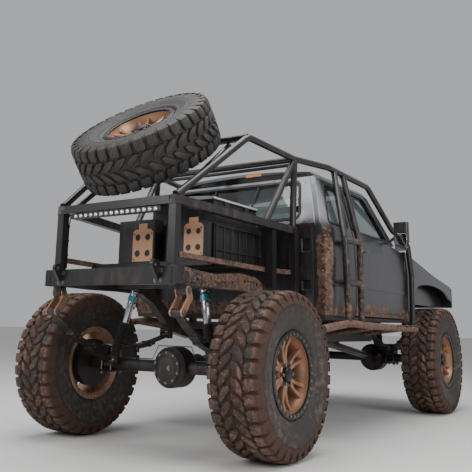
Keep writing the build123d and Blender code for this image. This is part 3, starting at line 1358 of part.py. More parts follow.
# Columns: x span, station span, height span
BOXES = (
    ((-240.0, 50.0), BOX_STATIONS, (BOX_BASE, 1377.0)),
    ((145.0, 425.0), BOX_STATIONS, (BOX_BASE, 1345.0)),
    (CHEST_X, CHEST_STATIONS, (BOX_BASE, CHEST_STEP)),
    (CHEST_UPPER_X, CHEST_UPPER_STATIONS, (CHEST_STEP, CHEST_TOP)),
)
LID_OVER = 6.0
LID_EDGE = 1514.0
LID_CROWN = 1531.0
LID_RANGE_X = (CHEST_UPPER_X[0] - LID_OVER, CHEST_UPPER_X[1] + LID_OVER)
LID_STATIONS = (CHEST_UPPER_STATIONS[0] - LID_OVER, CHEST_UPPER_STATIONS[1] + LID_OVER)
LID_HINGE_X = sum(CHEST_UPPER_X) / 2
LID_HINGE = side([(LID_STATIONS[0] - HINGE_R - 1, CHEST_TOP + HINGE_R)])[0]
with BuildPart() as storage_boxes:
    for spans in BOXES:
        add(block(*spans))
    chest_middle = sum(CHEST_STATIONS) / 2
    for rib in range(RIB_COUNT):
        station = chest_middle + (rib - (RIB_COUNT - 1) / 2) * RIB_PITCH
        rib_stations = (station - RIB_WIDTH / 2, station + RIB_WIDTH / 2)
        add(block((CHEST_X[1] - LAP, CHEST_X[1] + RIB_OUT), rib_stations, (BOX_BASE, CHEST_STEP)))
    for low in (BOX_BASE, CHEST_STEP - RIB_WIDTH):
        add(block((CHEST_X[1] - LAP, CHEST_X[1] + RIB_OUT), CHEST_STATIONS, (low, low + RIB_WIDTH)))
    ear_stations = (LID_STATIONS[0] - 2 * HINGE_R, CHEST_UPPER_STATIONS[0] + LAP)
    add(level_ears(LID_HINGE_X, LID_HINGE, ear_stations, (CHEST_TOP - 2 * HINGE_R, CHEST_TOP)))
    add(level_ears(LID_HINGE_X, LID_HINGE, (LID_STATIONS[0] - 2 * HINGE_R, LID_STATIONS[0] - 1), (CHEST_TOP - LAP, LID_HINGE[1])))
pieces["storage_boxes"] = storage_boxes.part

PLATE_THICK = 6.0
NECK_HALF = 34.0
NECK_RISE = 36.0
PLATE_CORNER = 18.0
PLATE_HOLE_SHARE = 0.13
# Columns: x span, height span
HOLE_PLATES = (((-119.0, 42.0), (1113.0, 1317.0)), ((284.0, 424.0), (1135.0, 1330.0)))
with BuildPart() as hole_plates:
    for (x0, x1), (low, high) in HOLE_PLATES:
        half, middle = (x1 - x0) / 2, (low + high) / 2
        right = [(half, low), (half, high - PLATE_CORNER), (half - PLATE_CORNER, high), (NECK_HALF, high)]
        right += [(NECK_HALF, high + NECK_RISE)]
        with BuildSketch(Plane.XZ.offset(-(REAR_AXLE_Y + BOX_STATIONS[0] - SEAT_GAP))):
            with Locations(((x0 + x1) / 2, 0)):
                Polygon(*right, *[(-x, z) for x, z in reversed(right)], align=None)
            with Locations(((x0 + x1) / 2, middle)):
                with GridLocations(half, (high - low) / 2, 2, 2):
                    Circle(2 * half * PLATE_HOLE_SHARE, mode=Mode.SUBTRACT)
        extrude(amount=PLATE_THICK)
pieces["hole_plates"] = hole_plates.part

with BuildPart() as chest_lid:
    with BuildSketch(Plane.XZ.offset(-(REAR_AXLE_Y + LID_STATIONS[0]))):
        with BuildLine():
            (x0, x1), lid_low = LID_RANGE_X, CHEST_TOP + SEAT_GAP
            Polyline((x0, LID_EDGE), (x0, lid_low), (x1, lid_low), (x1, LID_EDGE))
            ThreePointArc((x1, LID_EDGE), (LID_HINGE_X, LID_CROWN), (x0, LID_EDGE))
        make_face()
    extrude(amount=LID_STATIONS[0] - LID_STATIONS[1])
    web_x = (LID_HINGE_X - KNUCKLE / 2, LID_HINGE_X + KNUCKLE / 2)
    web_heights = (LID_HINGE[1] + HINGE_PIN_R + 2 * PIN_CLEARANCE, LID_HINGE[1] + HINGE_R)
    add(block(web_x, (LID_STATIONS[0] - HINGE_R - 1, LID_STATIONS[0] + LAP), web_heights))
    add(level_knuckle(LID_HINGE_X, LID_HINGE))
pieces["chest_lid"] = chest_lid.part

# Inside the cab
SEAT_X = 360.0
SEAT_HALF = 230.0
HEADREST_HALF = 130.0
HEADREST_POST = (70.0, 7.0)
BACK_TOP = 1560.0
HEADREST_LOW = 1588.0
# Side outlines, as (station, height)
SEAT_OUTLINE = (
    (1330.0, FLOOR_TOP + SEAT_GAP),
    (1780.0, FLOOR_TOP + SEAT_GAP),
    (1780.0, 900.0),
    (1825.0, 950.0),
    (1815.0, 1010.0),
    (1770.0, 1018.0),
    (1430.0, 985.0),
    (1375.0, 1200.0),
    (1290.0, BACK_TOP),
    (1200.0, BACK_TOP),
    (1190.0, 1500.0),
    (1290.0, 960.0),
)
HEADREST_OUTLINE = ((1205.0, HEADREST_LOW), (1285.0, HEADREST_LOW), (1295.0, 1660.0), (1270.0, 1735.0), (1212.0, 1735.0))
with BuildPart() as seats:
    for x in (-SEAT_X, SEAT_X):
        add(prism_x(SEAT_OUTLINE, x - SEAT_HALF, x + SEAT_HALF))
        add(prism_x(HEADREST_OUTLINE, x - HEADREST_HALF, x + HEADREST_HALF))
        for shift in (-HEADREST_POST[0], HEADREST_POST[0]):
            post_foot = at(x + shift, sum(s for s, _ in HEADREST_OUTLINE[:2]) / 2, BACK_TOP - LAP)
            add(round_bar(post_foot, (post_foot[0], post_foot[1], HEADREST_LOW + LAP), HEADREST_POST[1]))
pieces["seats"] = seats.part
WHEEL_CENTRE = at(-SEAT_X, 1800.0, 1240.0)
COLUMN_TILT = 25.0
COLUMN_R = 24.0
COLUMN_LENGTH = 260.0
DASH_HALF = 690.0
dash_front = COWL_STATION - SEAT_GAP
DASH_OUTLINE = (
    (2210.0, 1050.0),
    (dash_front, 1080.0),
    (dash_front, 1340.0),
    (2030.0, 1346.0),
    (1975.0, 1318.0),
    (1950.0, 1200.0),
    (2050.0, 1050.0),
)
column_axis = Vector(0, cos(radians(COLUMN_TILT)), -sin(radians(COLUMN_TILT)))
BOSS_R = 45.0
BOSS_HALF = 12.0
with BuildPart() as dashboard:
    add(prism_x(DASH_OUTLINE, -DASH_HALF, DASH_HALF))
    column_start = Vector(*WHEEL_CENTRE) + column_axis * (BOSS_HALF + ROD_GAP)
    add(round_bar(tuple(column_start), tuple(column_start + column_axis * COLUMN_LENGTH), COLUMN_R))
pieces["dashboard"] = dashboard.part
WHEEL_GRIP_R = 13.0
WHEEL_RIM_R = 185.0
GRIP_SIDES = 8
WHEEL_SPOKES = 3
WHEEL_SPOKE_WIDTH = 26.0
steering_plane = Plane(origin=WHEEL_CENTRE, x_dir=(1, 0, 0), z_dir=column_axis)
with BuildPart() as steering_wheel:
    with BuildSketch(Plane(origin=WHEEL_CENTRE, x_dir=(1, 0, 0), z_dir=steering_plane.y_dir)):
        with Locations((WHEEL_RIM_R, 0)):
            RegularPolygon(WHEEL_GRIP_R, GRIP_SIDES)
    revolve(axis=Axis(WHEEL_CENTRE, column_axis))
    with BuildSketch(steering_plane.offset(-BOSS_HALF)):
        Circle(BOSS_R)
        with PolarLocations(WHEEL_RIM_R / 2, WHEEL_SPOKES, start_angle=-90):
            Rectangle(WHEEL_RIM_R, WHEEL_SPOKE_WIDTH)
    extrude(amount=2 * BOSS_HALF)
pieces["steering_wheel"] = steering_wheel.part

os.makedirs("parts", exist_ok=True)
for name, piece in pieces.items():
    piece.label = name
    export_step(piece, f"parts/{name}.step")
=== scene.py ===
import math

import bmesh
import bpy
from bpy.props import FloatProperty, FloatVectorProperty, IntProperty, PointerProperty
from mathutils import Matrix, Vector


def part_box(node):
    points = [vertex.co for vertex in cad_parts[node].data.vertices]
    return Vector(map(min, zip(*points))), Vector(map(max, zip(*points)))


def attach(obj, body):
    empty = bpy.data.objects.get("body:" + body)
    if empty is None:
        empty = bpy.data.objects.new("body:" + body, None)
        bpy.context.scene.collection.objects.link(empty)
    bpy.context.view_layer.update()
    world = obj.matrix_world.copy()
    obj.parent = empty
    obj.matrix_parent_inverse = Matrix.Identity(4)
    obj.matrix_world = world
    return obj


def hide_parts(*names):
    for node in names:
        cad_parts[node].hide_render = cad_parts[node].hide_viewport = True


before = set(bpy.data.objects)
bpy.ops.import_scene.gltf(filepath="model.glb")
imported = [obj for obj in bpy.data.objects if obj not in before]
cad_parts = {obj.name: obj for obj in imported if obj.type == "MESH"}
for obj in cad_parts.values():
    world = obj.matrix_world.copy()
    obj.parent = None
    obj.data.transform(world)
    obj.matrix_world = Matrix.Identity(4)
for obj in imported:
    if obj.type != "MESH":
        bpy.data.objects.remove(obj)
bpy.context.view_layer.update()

bl_info = {
    "name": "Trail Pickup Finish",
    "version": (1, 0, 0),
    "blender": (4, 5, 0),
    "location": "View3D > Sidebar > Trail Pickup",
    "description": "Dresses the solids of a lifted off-road pickup with its real finishes and fine parts",
    "category": "Object",
}

# Lengths are in millimetres and colours are shares of red, green and blue, unless a line says otherwise
MM = 0.001
SIDES = (-1, 1)
WHEEL_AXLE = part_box("rim_rear_right")
REAR_AXLE_Y = (WHEEL_AXLE[0][1] + WHEEL_AXLE[1][1]) / 2
AXLE_Z = (WHEEL_AXLE[0][2] + WHEEL_AXLE[1][2]) / 2
AXLE_HEIGHT = AXLE_Z / MM


def at(x, station, z):
    """A point in metres from millimetres, with the station counted ahead of the rear axle."""
    return Vector((x * MM, REAR_AXLE_Y + station * MM, z * MM))


# Places of the wheels, as in the solids
WHEEL_X = 758.0
WHEELBASE = 3075.0
# Foot and peak of the cage's sloping tubes. Columns: station, height
CAGE_FOOT = (-556.0, 1445.0)
CAGE_PEAK = (40.0, 1910.0)
# The spare's middle, along those tubes from their foot and out from them
SPARE_ALONG = 465.0
SPARE_RISE = 181.55
CAGE_SLOPE = math.atan2(CAGE_PEAK[1] - CAGE_FOOT[1], CAGE_PEAK[0] - CAGE_FOOT[0])


def spare_place():
    """The matrix of the spare, which lies on the cage's sloping tubes with its outer side up."""
    s, c = math.sin(CAGE_SLOPE), math.cos(CAGE_SLOPE)
    station = CAGE_FOOT[0] + SPARE_ALONG * c - SPARE_RISE * s
    height = CAGE_FOOT[1] + SPARE_ALONG * s + SPARE_RISE * c
    return Matrix.Translation(at(0, station, height)) @ Matrix.Rotation(CAGE_SLOPE, 4, "X")


# Property groups


def colour(name, text, value):
    choices = {"subtype": "COLOR", "size": 3, "min": 0, "max": 1}
    return FloatVectorProperty(name=name, description=text, default=value, **choices)


def length(name, text, value):
    choices = {"subtype": "DISTANCE", "unit": "LENGTH", "min": 0}
    return FloatProperty(name=name, description=text, default=value * MM, **choices)


def count_of(name, text, value, least, most):
    return IntProperty(name=name, description=text, default=value, min=least, max=most)


class TrailFinishSettings(bpy.types.PropertyGroup):
    paint: colour("Body paint", "Colour of the cab's paint", (0.011, 0.011, 0.013))
    tube: colour("Tube coating", "Colour of the cage and bed tubes", (0.0085, 0.008, 0.0085))
    bronze: colour("Wheel bronze", "Colour of the wheels and shackles", (0.42, 0.235, 0.145))
    mud: colour("Wet mud", "Colour of the damp mud", (0.07, 0.036, 0.025))
    dry_mud: colour("Dry mud", "Colour of the dried mud", (0.27, 0.165, 0.118))
    rubber: colour("Rubber", "Colour of the tyres", (0.021, 0.02, 0.0195))
    collar: colour("Shock collar", "Colour of the shock absorbers' upper collar", (0.045, 0.27, 0.33))


class TrailTyreSettings(bpy.types.PropertyGroup):
    pitches: count_of("Pitches", "Tread blocks around each row", 36, 12, 60)
    tip: length("Tip radius", "Radius over the tread blocks", 469.2)
    depth: length("Tread depth", "Depth of the grooves", 17.0)
    bolts: count_of("Ring bolts", "Bolts in each clamping ring", 32, 8, 48)


class TrailStageSettings(bpy.types.PropertyGroup):
    floor: colour("Floor", "Colour of the floor", (0.7, 0.685, 0.665))
    lens: FloatProperty(name="Lens", description="Camera lens", unit="CAMERA", default=51.92)


# Shapes

# Radius in metres that stands for a point on the axis of a turned form
ON_AXIS = 0.0001
# Distance in metres within which points are one
MERGE = 0.00002
# Angles in degrees between faces that are still one plane, and from which an edge is rounded
FLAT_ANGLE = 0.6
BEVEL_ANGLE = 35
# A washer's size as shares of its bolt's
WASHER_WIDTH = 1.45
WASHER_THICKNESS = 0.25
WASHER_SIDES = 14
# Radius of a weld bead, and the shares of it between which it swells and narrows
BEAD = 3.4
BEAD_SIDES = 7
BEAD_SWELL = (0.82, 1.22)
RING_WELD_STEPS = 44
WELD_STEP = 4.5
# Share of a side that the rounding of one of its corners may take
ROUNDING_SHARE = 0.45
X_AXIS, Y_AXIS, Z_AXIS = Vector((1, 0, 0)), Vector((0, 1, 0)), Vector((0, 0, 1))


def angles(count, start=0.0):
    """Evenly spread angles of a full turn."""
    return [2 * math.pi * (k + start) / count for k in range(count)]


def polar(radius, angle):
    """A point in a plane, from its radius and angle."""
    return radius * math.cos(angle), radius * math.sin(angle)


def facing(place, direction):
    """A matrix at a place, with its local z along a direction."""
    return Matrix.Translation(place) @ Vector(direction).to_track_quat("Z", "Y").to_matrix().to_4x4()


def turned_about(place, degrees, axis):
    return Matrix.Translation(place) @ Matrix.Rotation(math.radians(degrees), 4, axis)


def ring_about(centre, one, other, radius, count):
    """Points round a centre, in the plane of two unit directions."""
    return [centre + one * math.cos(a) * radius + other * math.sin(a) * radius for a in angles(count)]


def skin(rings, count):
    """Faces between closed rings of points that follow each other."""
    faces = []
    for i in range(rings - 1):
        for k in range(count):
            m = (k + 1) % count
            faces.append((i * count + k, i * count + m, (i + 1) * count + m, (i + 1) * count + k))
    return faces


def ends_of(rings, count):
    """The two faces that close a skin."""
    return [tuple(reversed(range(count))), tuple(range((rings - 1) * count, rings * count))]


def side_span(side, low, high):
    """A span across the vehicle on its left or right side, from low to high."""
    return sorted((side * low, side * high))


def about(middle, half):
    return middle - half, middle + half


class Shape:
    """Vertices and faces that become one piece."""

    def __init__(self):
        self.points = []
        self.faces = []

    def add(self, points, faces, matrix=None):
        start = len(self.points)
        self.points += [matrix @ Vector(p) if matrix else Vector(p) for p in points]
        self.faces += [[start + i for i in f] for f in faces]

    def box(self, low, high, matrix=None):
        (x0, y0, z0), (x1, y1, z1) = low, high
        points = [(x, y, z) for z in (z0, z1) for y in (y0, y1) for x in (x0, x1)]
        faces = [(0, 2, 3, 1), (4, 5, 7, 6), (0, 1, 5, 4), (2, 6, 7, 3), (0, 4, 6, 2), (1, 3, 7, 5)]
        self.add(points, faces, matrix)

    def block(self, x_span, station_span, z_span):
        low, high = zip(x_span, station_span, z_span)
        self.box(at(*low), at(*high))

    def prism(self, outline, low, high, matrix=None):
        """An outline in local x and y, raised from low to high along local z."""
        n = len(outline)
        points = [(x, y, low) for x, y in outline] + [(x, y, high) for x, y in outline]
        self.add(points, ends_of(2, n) + skin(2, n), matrix)

    def lathe(self, profile, count, matrix=None):
        """A closed profile of places along local z and radii, turned about local z."""
        rows = len(profile)
        points = []
        for a in angles(count):
            points += [(*polar(r, a), z) for z, r in profile]
        faces = []
        for k in range(count):
            m = (k + 1) % count
            for i in range(rows):
                j = (i + 1) % rows
                faces.append((k * rows + i, m * rows + i, m * rows + j, k * rows + j))
        self.add(points, faces, matrix)

    def turned(self, profile, count, matrix=None):
        """A lathe of a profile in millimetres."""
        self.lathe([(z * MM, r * MM) for z, r in profile], count, matrix)

    def rod(self, start, end, radius, count=16, end_radius=None):
        """A straight round rod between two points, with its radius in millimetres."""
        run = end - start
        near = radius * MM
        far = near if end_radius is None else end_radius * MM
        profile = [(0, ON_AXIS), (0, near), (run.length, far), (run.length, ON_AXIS)]
        self.lathe(profile, count, facing(start, run))

    def tube(self, path, radius, count):
        """A round tube through a list of points, with its radius in millimetres."""
        points = []
        normal = None
        for i, p in enumerate(path):
            run = (path[min(i + 1, len(path) - 1)] - path[max(i - 1, 0)]).normalized()
            if normal is None:
                normal = run.orthogonal().normalized()
            normal = (normal - run * normal.dot(run)).normalized()
            points += ring_about(p, normal, run.cross(normal), radius * MM, count)
        self.add(points, skin(len(path), count) + ends_of(len(path), count))

    def bolt(self, place, direction, radius, height, washer=True):
        """A hexagonal head, with its radius and height in millimetres."""
        matrix = facing(place, direction)
        if washer:
            wide, thick = radius * MM * WASHER_WIDTH, height * MM * WASHER_THICKNESS
            self.lathe([(0, ON_AXIS), (0, wide), (thick, wide), (thick, ON_AXIS)], WASHER_SIDES, matrix)
        self.prism([polar(radius * MM, a) for a in angles(6)], 0, height * MM, matrix)

    def ring_weld(self, place, direction, radius):
        """A rippled bead of weld round the end of a tube."""
        matrix = facing(place, direction)
        ring = [matrix @ Vector((*polar(radius * MM, a), 0)) for a in angles(RING_WELD_STEPS)]
        self.bead(ring + [ring[0]])

    def bead(self, path):
        """A weld bead along a path, swelling and narrowing as it was laid."""
        points = []
        for i, p in enumerate(path):
            run = (path[min(i + 1, len(path) - 1)] - path[max(i - 1, 0)]).normalized()
            normal = run.orthogonal().normalized()
            radius = BEAD * MM * BEAD_SWELL[i % 2]
            points += ring_about(p, normal, run.cross(normal), radius, BEAD_SIDES)
        self.add(points, skin(len(path), BEAD_SIDES))

    def corner_weld(self, corners):
        """A bead along straight runs between corners, which closes on itself."""
        path = []
        for i, start in enumerate(corners):
            end = corners[(i + 1) % len(corners)]
            steps = max(int((end - start).length / (WELD_STEP * MM)), 2)
            path += [start.lerp(end, k / steps) for k in range(steps)]
        self.bead(path + [corners[0]])

    def band(self, outer, inner, place, low, high):
        """A closed frame between two outlines, laid on a surface that place() describes."""
        n = len(outer)
        points = []
        for outline, lift in ((outer, low), (outer, high), (inner, high), (inner, low)):
            points += [place(u, v, lift) for u, v in outline]
        faces = []
        for ring in range(4):
            after = (ring + 1) % 4
            for i in range(n):
                j = (i + 1) % n
                faces.append((ring * n + i, ring * n + j, after * n + j, after * n + i))
        self.add(points, faces)

    def sheet(self, outline, place, low, high):
        """A thin plate of one outline on a surface that place() describes."""
        n = len(outline)
        points = [place(u, v, low) for u, v in outline] + [place(u, v, high) for u, v in outline]
        self.add(points, ends_of(2, n) + skin(2, n))

    def mirrored(self):
        """The same again on the other side of the vehicle."""
        start = len(self.points)
        self.points += [Vector((-p.x, p.y, p.z)) for p in self.points]
        self.faces += [[start + i for i in reversed(f)] for f in list(self.faces)]
        return self

    def piece(self, name, finish, body="chassis", slot=None, **choices):
        mesh = bpy.data.meshes.new(name)
        mesh.from_pydata([tuple(p) for p in self.points], [], self.faces)
        return settle(mesh, name, finish, body, slot, **choices)


def rectangle(x_span, y_span):
    (x0, x1), (y0, y1) = x_span, y_span
    return [(x0, y0), (x1, y0), (x1, y1), (x0, y1)]


def inset(outline, distance):
    """An outline moved inward by a distance, or outward where that is negative."""
    following = outline[1:] + outline[:1]
    area = sum(x * after_y - after_x * y for (x, y), (after_x, after_y) in zip(outline, following))
    turn = 1 if area > 0 else -1
    moved = []
    for i, (x, y) in enumerate(outline):
        before = (Vector((x, y)) - Vector(outline[i - 1])).normalized()
        after = (Vector(following[i]) - Vector((x, y))).normalized()
        left, right = Vector((-before.y, before.x)), Vector((-after.y, after.x))
        shift = (left + right) * (turn * distance / (1 + left.dot(right)))
        moved.append((x + shift.x, y + shift.y))
    return moved


def rounded(outline, radius, steps=5):
    """An outline with its corners rounded off."""
    n = len(outline)
    made = []
    for i, corner in enumerate(outline):
        here = Vector(corner)
        before, after = Vector(outline[i - 1]), Vector(outline[(i + 1) % n])
        cut = min(radius, ROUNDING_SHARE * (before - here).length, ROUNDING_SHARE * (after - here).length)
        start = here + (before - here).normalized() * cut
        end = here + (after - here).normalized() * cut
        for k in range(steps + 1):
            t = k / steps
            point = start * (1 - t) ** 2 + here * 2 * t * (1 - t) + end * t * t
            made.append((point.x, point.y))
    return made


def settle(mesh, name, finish, body, slot, stands_for=(), smooth=30, bevel=0.0, matrix=None, segments=2):
    """Turns a mesh into a finished piece that moves with its body."""
    mesh.validate()
    mesh.update()
    work = bmesh.new()
    work.from_mesh(mesh)
    bmesh.ops.remove_doubles(work, verts=work.verts, dist=MERGE)
    bmesh.ops.recalc_face_normals(work, faces=work.faces)
    work.to_mesh(mesh)
    work.free()
    obj = bpy.data.objects.new(name, mesh)
    bpy.context.scene.collection.objects.link(obj)
    if matrix and body == "chassis":
        mesh.transform(matrix)
    elif matrix:
        obj.matrix_world = matrix
    mesh.materials.clear()
    mesh.materials.append(bpy.data.materials[finish])
    for face in mesh.polygons:
        face.use_smooth = True
    mesh.set_sharp_from_angle(angle=math.radians(smooth))
    if bevel:
        round_edges(obj, bevel, segments)
    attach(obj, body)
    if stands_for:
        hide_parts(*stands_for)
    return obj


def round_edges(obj, bevel, segments):
    """Rounds the sharp edges, and keeps broad faces evenly shaded beside them."""
    edge = obj.modifiers.new("Rounded edges", "BEVEL")
    edge.width = bevel * MM
    edge.segments = segments
    edge.limit_method = "ANGLE"
    edge.angle_limit = math.radians(BEVEL_ANGLE)
    edge.harden_normals = True
    even = obj.modifiers.new("Even shading", "WEIGHTED_NORMAL")
    even.keep_sharp = True


def dress(node, body, finish, slot, bevel):
    """A finished copy of a solid, with rounded edges, that stands for it."""
    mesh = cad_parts[node].data.copy()
    work = bmesh.new()
    work.from_mesh(mesh)
    bmesh.ops.remove_doubles(work, verts=work.verts, dist=MERGE)
    flat = math.radians(FLAT_ANGLE)
    bmesh.ops.dissolve_limit(work, angle_limit=flat, verts=work.verts, edges=work.edges)
    work.to_mesh(mesh)
    work.free()
    return settle(mesh, node + "_finish", finish, body, slot, stands_for=(node,), bevel=bevel)


# Material nodes

# Noise. Columns: scale, detail, roughness
MUD_BROAD = (3.5, 8.0, 0.62)
MUD_FINE = (1.0, 8.0, 0.7)
MUD_SPECKS = (4.0, 4.0, 0.6)
DUST_RUNS = (26.0, 5.0, 0.6)
DUST_CLOUD = (2.2, 5.0, 0.55)
DUST_SPECKS = (220.0, 2.0, 0.5)
FADED_CLOUD = (7.0, 6.0, 0.6)
SMEARS = (8.0, 6.0, 0.65)
GRAIN_DETAIL = (3.0, 0.5)


def new_node(tree, kind, **values):
    made = tree.nodes.new(kind)
    for key, value in values.items():
        setattr(made, key, value)
    return made


def supply(tree, source, target):
    """Links a socket to another, or sets it where the source is a plain value."""
    if isinstance(source, (int, float, tuple)):
        target.default_value = source
    else:
        tree.links.new(source, target)


def combine(tree, operation, first, second, clamp=False):
    made = new_node(tree, "ShaderNodeMath", operation=operation, use_clamp=clamp)
    supply(tree, first, made.inputs[0])
    supply(tree, second, made.inputs[1])
    return made.outputs[0]


def product(tree, *sources, clamp=False):
    total = sources[0]
    for source in sources[1:]:
        total = combine(tree, "MULTIPLY", total, source, clamp)
    return total


def total_of(tree, *sources):
    total = sources[0]
    for source in sources[1:]:
        total = combine(tree, "ADD", total, source)
    return total


def rest_of(tree, share):
    """One less a share, never below nothing."""
    return combine(tree, "SUBTRACT", 1.0, share, clamp=True)


def ramp(tree, source, span, result=(0.0, 1.0)):
    """A smooth change from the first result to the second over a span of the source."""
    made = new_node(tree, "ShaderNodeMapRange", interpolation_type="SMOOTHSTEP")
    supply(tree, source, made.inputs["Value"])
    for label, value in zip(("From Min", "From Max", "To Min", "To Max"), (*span, *result)):
        made.inputs[label].default_value = value
    return made.outputs["Result"]


def noise_of(tree, coordinate, pattern):
    made = new_node(tree, "ShaderNodeTexNoise")
    supply(tree, coordinate, made.inputs["Vector"])
    for label, value in zip(("Scale", "Detail", "Roughness"), pattern):
        made.inputs[label].default_value = value
    return made.outputs["Fac"]


def blend_colour(tree, factor, first, second):
    made = new_node(tree, "ShaderNodeMix", data_type="RGBA")
    supply(tree, factor, made.inputs[0])
    supply(tree, first, made.inputs[6])
    supply(tree, second, made.inputs[7])
    return made.outputs[2]


def own_place(tree):
    """Places on the piece in metres, about its own origin."""
    return new_node(tree, "ShaderNodeTexCoord").outputs["Object"]


def place_axes(tree):
    split = new_node(tree, "ShaderNodeSeparateXYZ")
    supply(tree, own_place(tree), split.inputs[0])
    return split.outputs


def bump_of(tree, height, strength, distance):
    made = new_node(tree, "ShaderNodeBump")
    made.inputs["Strength"].default_value = strength
    made.inputs["Distance"].default_value = distance
    supply(tree, height, made.inputs["Height"])
    return made.outputs["Normal"]


def new_group(name, inputs, outputs):
    """An empty node group with named sockets, and the nodes that hold them."""
    group = bpy.data.node_groups.new(name, "ShaderNodeTree")
    for label, value in inputs:
        socket = group.interface.new_socket(name=label, in_out="INPUT", socket_type="NodeSocketFloat")
        socket.default_value = value
    for label, kind in outputs:
        group.interface.new_socket(name=label, in_out="OUTPUT", socket_type="NodeSocket" + kind)
    return group, new_node(group, "NodeGroupInput").outputs, new_node(group, "NodeGroupOutput").inputs


# Mud and dust

DUST_TINT = (0.19, 0.14, 0.11, 1)
# Pale grey for the cab's corners beside the rear window: partly bare paint, partly a painted highlight
PALE_PAINT_AND_HIGHLIGHT = (0.34, 0.35, 0.37, 1)
DULL_ROUGHNESS = 0.93
COAT_ROUGHNESS = 0.18
MUD_HEIGHT = 0.006
GRAIN_HEIGHT = 0.0008
# How far the broad, fine and speckled noise count toward mud, and the sum at which it begins
BROAD_SHARE, FINE_SHARE, SPECK_SHARE = 0.9, 0.8, 0.35
MUD_EDGE = (1.5, 1.64)
DRYING = (0.3, 0.78)
SPECK_RELIEF = 0.5
DUST_STRETCH = (1.0, 1.0, 0.25)
DUST_SOFT_SHARE, DUST_DOT_SHARE, DUST_LEAST = 0.8, 0.6, 0.05
# Spans of the noise over which dust sets in, for its runs and its specks and for the cloud under each
RUN_EDGE, RUN_CLOUD_EDGE = (0.42, 0.72), (0.3, 0.75)
SPECK_EDGE, SPECK_CLOUD_EDGE = (0.62, 0.7), (0.35, 0.6)


def mud_group(settings):
    """Caked mud: where it lies, its colour and its height, from a bias that each material supplies."""
    inputs = (("Bias", 0.5), ("Grain", 30.0), ("Wet", 0.0))
    outputs = (("Mask", "Float"), ("Color", "Color"), ("Relief", "Float"))
    group, given, made = new_group("Caked mud", inputs, outputs)
    place = own_place(group)
    broad = noise_of(group, place, MUD_BROAD)
    scaled = new_node(group, "ShaderNodeVectorMath", operation="SCALE")
    supply(group, place, scaled.inputs[0])
    supply(group, given["Grain"], scaled.inputs["Scale"])
    fine = noise_of(group, scaled.outputs[0], MUD_FINE)
    speck = noise_of(group, scaled.outputs[0], MUD_SPECKS)
    shares = ((broad, BROAD_SHARE), (fine, FINE_SHARE), (speck, SPECK_SHARE))
    height = total_of(group, *[product(group, noise, share) for noise, share in shares], given["Bias"])
    mask = ramp(group, height, MUD_EDGE)
    dried = product(group, ramp(group, fine, DRYING), rest_of(group, given["Wet"]))
    wet, dry = (*settings.mud, 1.0), (*settings.dry_mud, 1.0)
    relief = product(group, mask, total_of(group, fine, product(group, speck, SPECK_RELIEF)))
    supply(group, mask, made["Mask"])
    supply(group, blend_colour(group, dried, wet, dry), made["Color"])
    supply(group, relief, made["Relief"])


def dust_group():
    """A thin film of dust with runs and specks, stronger where the material asks for it."""
    group, given, made = new_group("Dust film", (("Amount", 0.4),), (("Mask", "Float"),))
    place = own_place(group)
    stretch = new_node(group, "ShaderNodeMapping")
    supply(group, place, stretch.inputs["Vector"])
    stretch.inputs["Scale"].default_value = DUST_STRETCH
    runs = noise_of(group, stretch.outputs[0], DUST_RUNS)
    cloud = noise_of(group, place, DUST_CLOUD)
    speck = noise_of(group, place, DUST_SPECKS)
    soft = product(group, ramp(group, runs, RUN_EDGE), ramp(group, cloud, RUN_CLOUD_EDGE))
    dots = product(group, ramp(group, speck, SPECK_EDGE), ramp(group, cloud, SPECK_CLOUD_EDGE))
    shares = (product(group, soft, DUST_SOFT_SHARE), product(group, dots, DUST_DOT_SHARE))
    film = total_of(group, *shares, DUST_LEAST)
    supply(group, product(group, film, given["Amount"], clamp=True), made["Mask"])


# Where mud lies, and the pale patch that is partly bare paint and partly a painted highlight, as spans in
# metres ahead of the rear axle, out from the middle and up
CORNER_AHEAD, CORNER_OUT, CORNER_UP = (0.66, 0.95), (0.7, 0.78), (1.3, 1.44)
CORNER_MUD, CORNER_CLEAN = 1.35, 0.5
SILL_UP, SILL_BIAS = (0.82, 1.16), (0.62, -0.42)
KICK_UP_AHEAD, KICK_UP_BIAS = (0.3, 0.9), (0.58, 0.2)
RAIL_OUT, RAIL_BIAS = (0.47, 0.497), (-0.6, 0.0)
# The pale patch on the cab's corners: partly bare paint, partly a painted highlight
PALE_AHEAD, PALE_UP = (0.78, 0.93), (1.4, 1.5)
PALE_MOST = 0.8
PALE_CLOUD_EDGE = (0.3, 0.5)
# The same on a tyre or wheel, as spans of radius or of places along its axle, in metres
TREAD_RADII, GROOVE_RADII, WALL_RADII = (0.4665, 0.4585), (0.4655, 0.4545), (0.31, 0.42)
TREAD_BIAS, SPARE_BIAS, WALL_BIAS = (0.56, 0.95), (-0.2, 0.3), (-0.2, 0.82)
WET_GROOVE = (0.0, 0.95)
# On a wheel the mud is raised on the inner side, where it also stands for painted shade inside the barrel
WHEEL_ALONG, WHEEL_MUD_AND_SHADE_BIAS = (-0.06, 0.06), (0.5, -0.35)


def ahead_of_axle(span):
    return [REAR_AXLE_Y + place for place in span]


def cab_corner_bias(tree):
    """Mud thrown up by the rear wheels: thick on the cab's rear corner, thinner along the doors' feet."""
    axes = place_axes(tree)
    corner = ramp(tree, axes["Y"], ahead_of_axle(CORNER_AHEAD), (1.0, 0.0))
    below = ramp(tree, axes["Z"], CORNER_UP, (1.0, 0.0))
    outside = ramp(tree, combine(tree, "ABSOLUTE", axes["X"], 0.0), CORNER_OUT)
    thick = product(tree, corner, below, outside, CORNER_MUD)
    foot = ramp(tree, axes["Z"], SILL_UP, SILL_BIAS)
    return combine(tree, "MAXIMUM", foot, combine(tree, "SUBTRACT", thick, CORNER_CLEAN))


